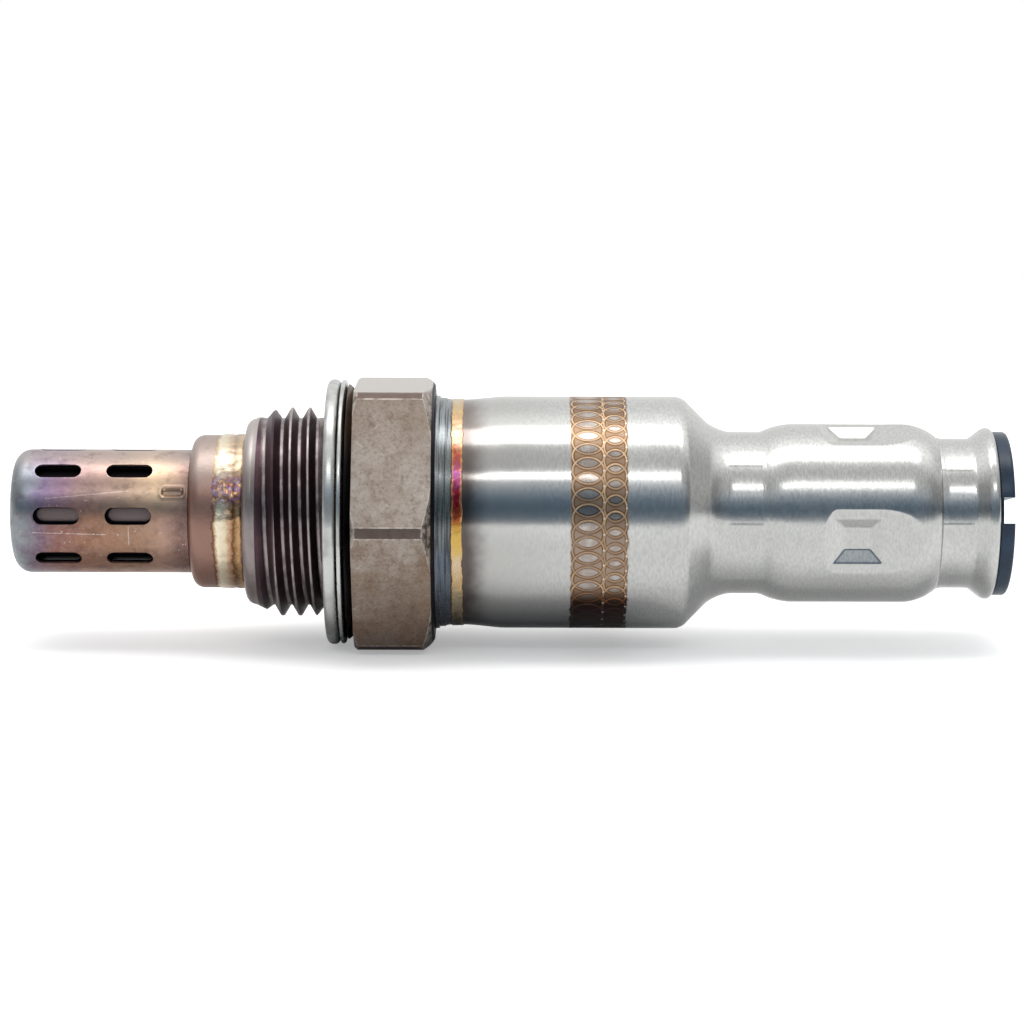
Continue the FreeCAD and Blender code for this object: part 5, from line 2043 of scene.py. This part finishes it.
@dataclass
class InnerPieces(SubAssembly):
    """The solids that stay as they are, inside the sensor, each dressed for its material."""

    finishes: dict[str, Finish] = field(default_factory=lambda: {
        "tinted_steel": GrainedFinish("tinted_plain", (0.38, 0.28, 0.25), (0.25, 0.18, 0.17), 0.35, 1.0),
        "browned_steel": GrainedFinish("browned_plain", (0.28, 0.23, 0.20), (0.18, 0.14, 0.13), 0.42, 1.0),
        "bright_steel": GrainedFinish("bright_plain", (0.62, 0.62, 0.60), (0.48, 0.48, 0.47), 0.30, 1.0),
        "case_steel": GrainedFinish("case_plain", (0.62, 0.62, 0.60), (0.50, 0.50, 0.49), 0.28, 1.0),
        "zirconia": GrainedFinish("zirconia", (0.86, 0.83, 0.76), (0.74, 0.71, 0.64), 0.55),
        "alumina": GrainedFinish("alumina", (0.88, 0.87, 0.83), (0.78, 0.77, 0.73), 0.50),
        "talc": GrainedFinish("pressed_talc", (0.72, 0.71, 0.66), (0.60, 0.59, 0.54), 0.80, 0.0, 5.0, 0.03),
        "contact_alloy": GrainedFinish("contact_alloy", (0.72, 0.58, 0.30), (0.56, 0.43, 0.20), 0.28, 1.0),
        "spring_steel": GrainedFinish("spring_steel", (0.55, 0.55, 0.54), (0.42, 0.42, 0.41), 0.32, 1.0),
        "seal_rubber": GrainedFinish("seal_rubber", (0.020, 0.020, 0.021), (0.012, 0.012, 0.012), 0.65),
        "vent_film": GrainedFinish("vent_film", (0.82, 0.82, 0.82), (0.72, 0.72, 0.72), 0.60),
        "insert_plastic": GrainedFinish("insert_plain", (0.02, 0.035, 0.06), (0.01, 0.02, 0.04), 0.42),
    })

    def build(self) -> list[bpy.types.Object]:
        """Dresses each solid by the record's slot.

        Returns:
            The dressed solids.
        """
        materials: dict[str, bpy.types.Material] = {}
        slots = {part["node"]: part["material_slot"] for part in frame["record"]["subparts"]}
        dressed = []
        for node, solid in sorted(frame["nodes"].items()):
            slot = slots[node]
            if slot not in materials:
                materials[slot] = self.finishes[slot].material()
            for index in range(len(solid.data.materials)):
                solid.data.materials[index] = materials[slot]
            dressed.append(solid)
        return dressed


# Studio


@dataclass(frozen=True)
class Lamp:
    """A soft rectangular lamp that faces the sensor. Its size and its distance from the axis are in metres.

    The size is its length along X and its height. The level is how bright it looks, where 1 is white.
    """

    name: str
    size: tuple[float, float]
    angle: float
    away: float
    level: float


@dataclass
class Studio:
    """The floor, the lamps, the surroundings and the camera. The floor's size is in metres.

    A lift is how much the floor glows, and the field before it says how far from the sensor the glow comes in. A room
    level holds an angle round the axis, a brightness and a share of blue.
    """

    floor_level: float = -11.4
    floor_size: tuple[float, float] = (1.8, 0.58)
    floor_behind: float = 0.11
    sheet_white: float = 0.88
    half_length: float = 42.6
    seen_from: tuple[float, float] = (13.0, 60.0)
    seen_lift: tuple[float, float] = (0.34, 0.47)
    mirrored_from: tuple[float, float] = (13.0, 200.0)
    mirrored_lift: tuple[float, float] = (0.0, 0.40)
    front_rise: tuple[float, float] = (-2.4, -5.2)
    front_fall: tuple[float, float] = (-8.0, -28.0)
    front_lift: float = 0.18
    necks_from: tuple[float, float] = (26.0, 34.0)
    necks_shift: float = 4.6
    camera_distance: float = 285.0
    camera_height: float = 8.5
    camera_roll: float = 0.17
    look_at: float = 15.8
    pixels_per_mm: float = 11.6
    sensor_width: float = 36.0
    lamps: tuple[Lamp, ...] = (
        Lamp("overhead_box", (0.60, 0.20), 90.5, 0.55, 2.5), Lamp("strip", (0.42, 0.052), 44.3, 0.60, 4.2),
    )
    end_reach: tuple[float, float] = (0.55, 0.95)
    end_level: float = 0.45
    blue_cuts: Colour = (0.32, 0.04, -0.28)
    room_levels: tuple[tuple[float, float, float], ...] = (
        (-180, 0.66, 0.0), (-9, 0.66, 0.0), (-4, 0.46, 0.1), (0, 0.28, 0.5), (5, 0.19, 1.0), (12, 0.15, 1.0),
        (20, 0.20, 1.0), (28, 0.38, 0.6), (36, 0.62, 0.2), (54, 0.66, 0.0), (70, 0.72, 0.0), (77, 0.85, 0.0),
        (90, 1.30, 0.0), (104, 1.45, 0.0), (114, 1.35, 0.0), (127, 1.08, 0.0), (142, 0.98, 0.0), (180, 0.95, 0.0),
    )

    def floor(self) -> bpy.types.Object:
        """Lays a pale sheet under the sensor.

        Returns:
            The sheet.
        """
        bm = bmesh.new()
        bmesh.ops.create_grid(bm, x_segments=1, y_segments=1, size=0.5)
        bmesh.ops.scale(bm, verts=bm.verts[:], vec=(*self.floor_size, 1.0))
        bmesh.ops.translate(bm, verts=bm.verts[:], vec=(self.look_at * MM, self.floor_behind, 0.0))
        sheet = add_object("floor", to_mesh(bm, "floor"))
        sheet.location.z = self.floor_level * MM
        g = Graph("pale_sheet")
        self.whiten(g)
        sheet.data.materials.append(g.dress((self.sheet_white,) * 3, 0.85, 0.0))
        return sheet

    def whiten(self, g: Graph) -> None:
        """Lifts the sheet to white away from the sensor, seen straight or mirrored, and keeps the shadow.

        Args:
            g: the sheet's nodes.
        """
        path = g.tree.nodes.new("ShaderNodeLightPath")
        past = g.minus(g.math("ABSOLUTE", g.minus(g.place("x"), self.look_at)), self.half_length)
        past = g.math("MAXIMUM", past, 0.0)
        away = g.length(past, g.place("y"))
        seen = g.times(path.outputs["Is Camera Ray"], g.spread(away, *self.seen_from, *self.seen_lift))
        mirrored = g.math("MAXIMUM", path.outputs["Is Glossy Ray"], path.outputs["Is Transmission Ray"])
        near = g.plus(g.place("y"), g.spread(g.place("x"), *self.necks_from, self.necks_shift, 0.0))
        front = g.spread(g.place("y"), *self.front_fall, self.front_lift, 0.0)
        front = g.times(g.spread(near, *self.front_rise), front)
        behind = g.spread(away, *self.mirrored_from, *self.mirrored_lift)
        lift = g.plus(seen, g.times(mirrored, g.plus(front, behind)))
        g.feed(g.shader.inputs["Emission Strength"], lift)
        g.feed(g.shader.inputs["Emission Color"], (1.0, 1.0, 1.0, 1.0))

    def hang(self, lamp: Lamp) -> bpy.types.Object:
        """Hangs a lamp beside the sensor and turns it to the sensor's middle.

        Args:
            lamp: the lamp.

        Returns:
            The lamp's object.
        """
        light = bpy.data.lights.new(lamp.name, "AREA")
        light.shape = "RECTANGLE"
        light.size, light.size_y = lamp.size
        light.energy = lamp.level * math.pi * lamp.size[0] * lamp.size[1]
        hung = add_object(lamp.name, light)
        hung.location = place(self.look_at * MM, lamp.away, lamp.angle)
        aim = Vector((self.look_at * MM, 0, 0)) - hung.location
        hung.rotation_euler = aim.to_track_quat("-Z", "Y").to_euler()
        return hung

    def surroundings(self) -> None:
        """Builds the room round the sensor: white above and behind, dark and bluish where the camera stands."""
        world = bpy.data.worlds.new("studio")
        bpy.context.scene.world = world
        world.use_nodes = True
        g = Nodes(world.node_tree)
        split = g.tree.nodes.new("ShaderNodeSeparateXYZ")
        g.feed(split.inputs[0], g.tree.nodes.new("ShaderNodeTexCoord").outputs["Generated"])
        along, across, up = split.outputs
        room = g.scale(g.math("ARCTAN2", up, g.times(across, -1.0)), [
            (math.radians(angle), tuple(level * (1.0 - cut * blue) for cut in self.blue_cuts))
            for angle, level, blue in self.room_levels
        ])
        ends = g.spread(g.math("ABSOLUTE", along), *self.end_reach, 1.0, self.end_level)
        seen = g.tree.nodes.new("ShaderNodeLightPath").outputs["Is Camera Ray"]
        background = g.tree.nodes["Background"]
        g.feed(background.inputs["Color"], g.mix(seen, room, (1.0, 1.0, 1.0)))
        g.feed(background.inputs["Strength"], g.math("MAXIMUM", ends, seen))

    def camera(self) -> bpy.types.Object:
        """Sets the camera a little above the sensor's axis, as far off as the photograph's perspective says.

        Returns:
            The camera.
        """
        data = bpy.data.cameras.new("camera")
        data.sensor_width = self.sensor_width
        seen = PHOTO_WIDTH / self.pixels_per_mm
        data.lens = self.sensor_width * self.camera_distance / seen
        camera = add_object("camera", data)
        target = Vector((self.look_at, 0, 0))
        camera.location = (target + place(0.0, self.camera_distance, self.camera_height)) * MM
        aim = (target * MM - camera.location).to_track_quat("-Z", "Y")
        roll = Matrix.Rotation(math.radians(self.camera_roll), 4, "Z")
        camera.rotation_euler = (aim.to_matrix().to_4x4() @ roll).to_euler()
        bpy.context.scene.camera = camera
        return camera

    def build(self) -> None:
        """Sets everything up."""
        self.floor()
        self.surroundings()
        for lamp in self.lamps:
            self.hang(lamp)
        self.camera()
        bpy.context.scene.view_settings.view_transform = "Standard"


def main() -> None:
    """Builds the sensor's pieces, dresses them and lights them."""
    logging.basicConfig(level=logging.INFO, format="%(message)s")
    Studio().build()
    for assembly in (InnerPieces(), Protector(), ThreadedBody(), Gasket(), Case(), Insert()):
        for piece in assembly.build():
            log.info("%s: %s, %d faces", type(assembly).__name__, piece.name, len(piece.data.polygons))


if __name__ == "__main__":
    main()
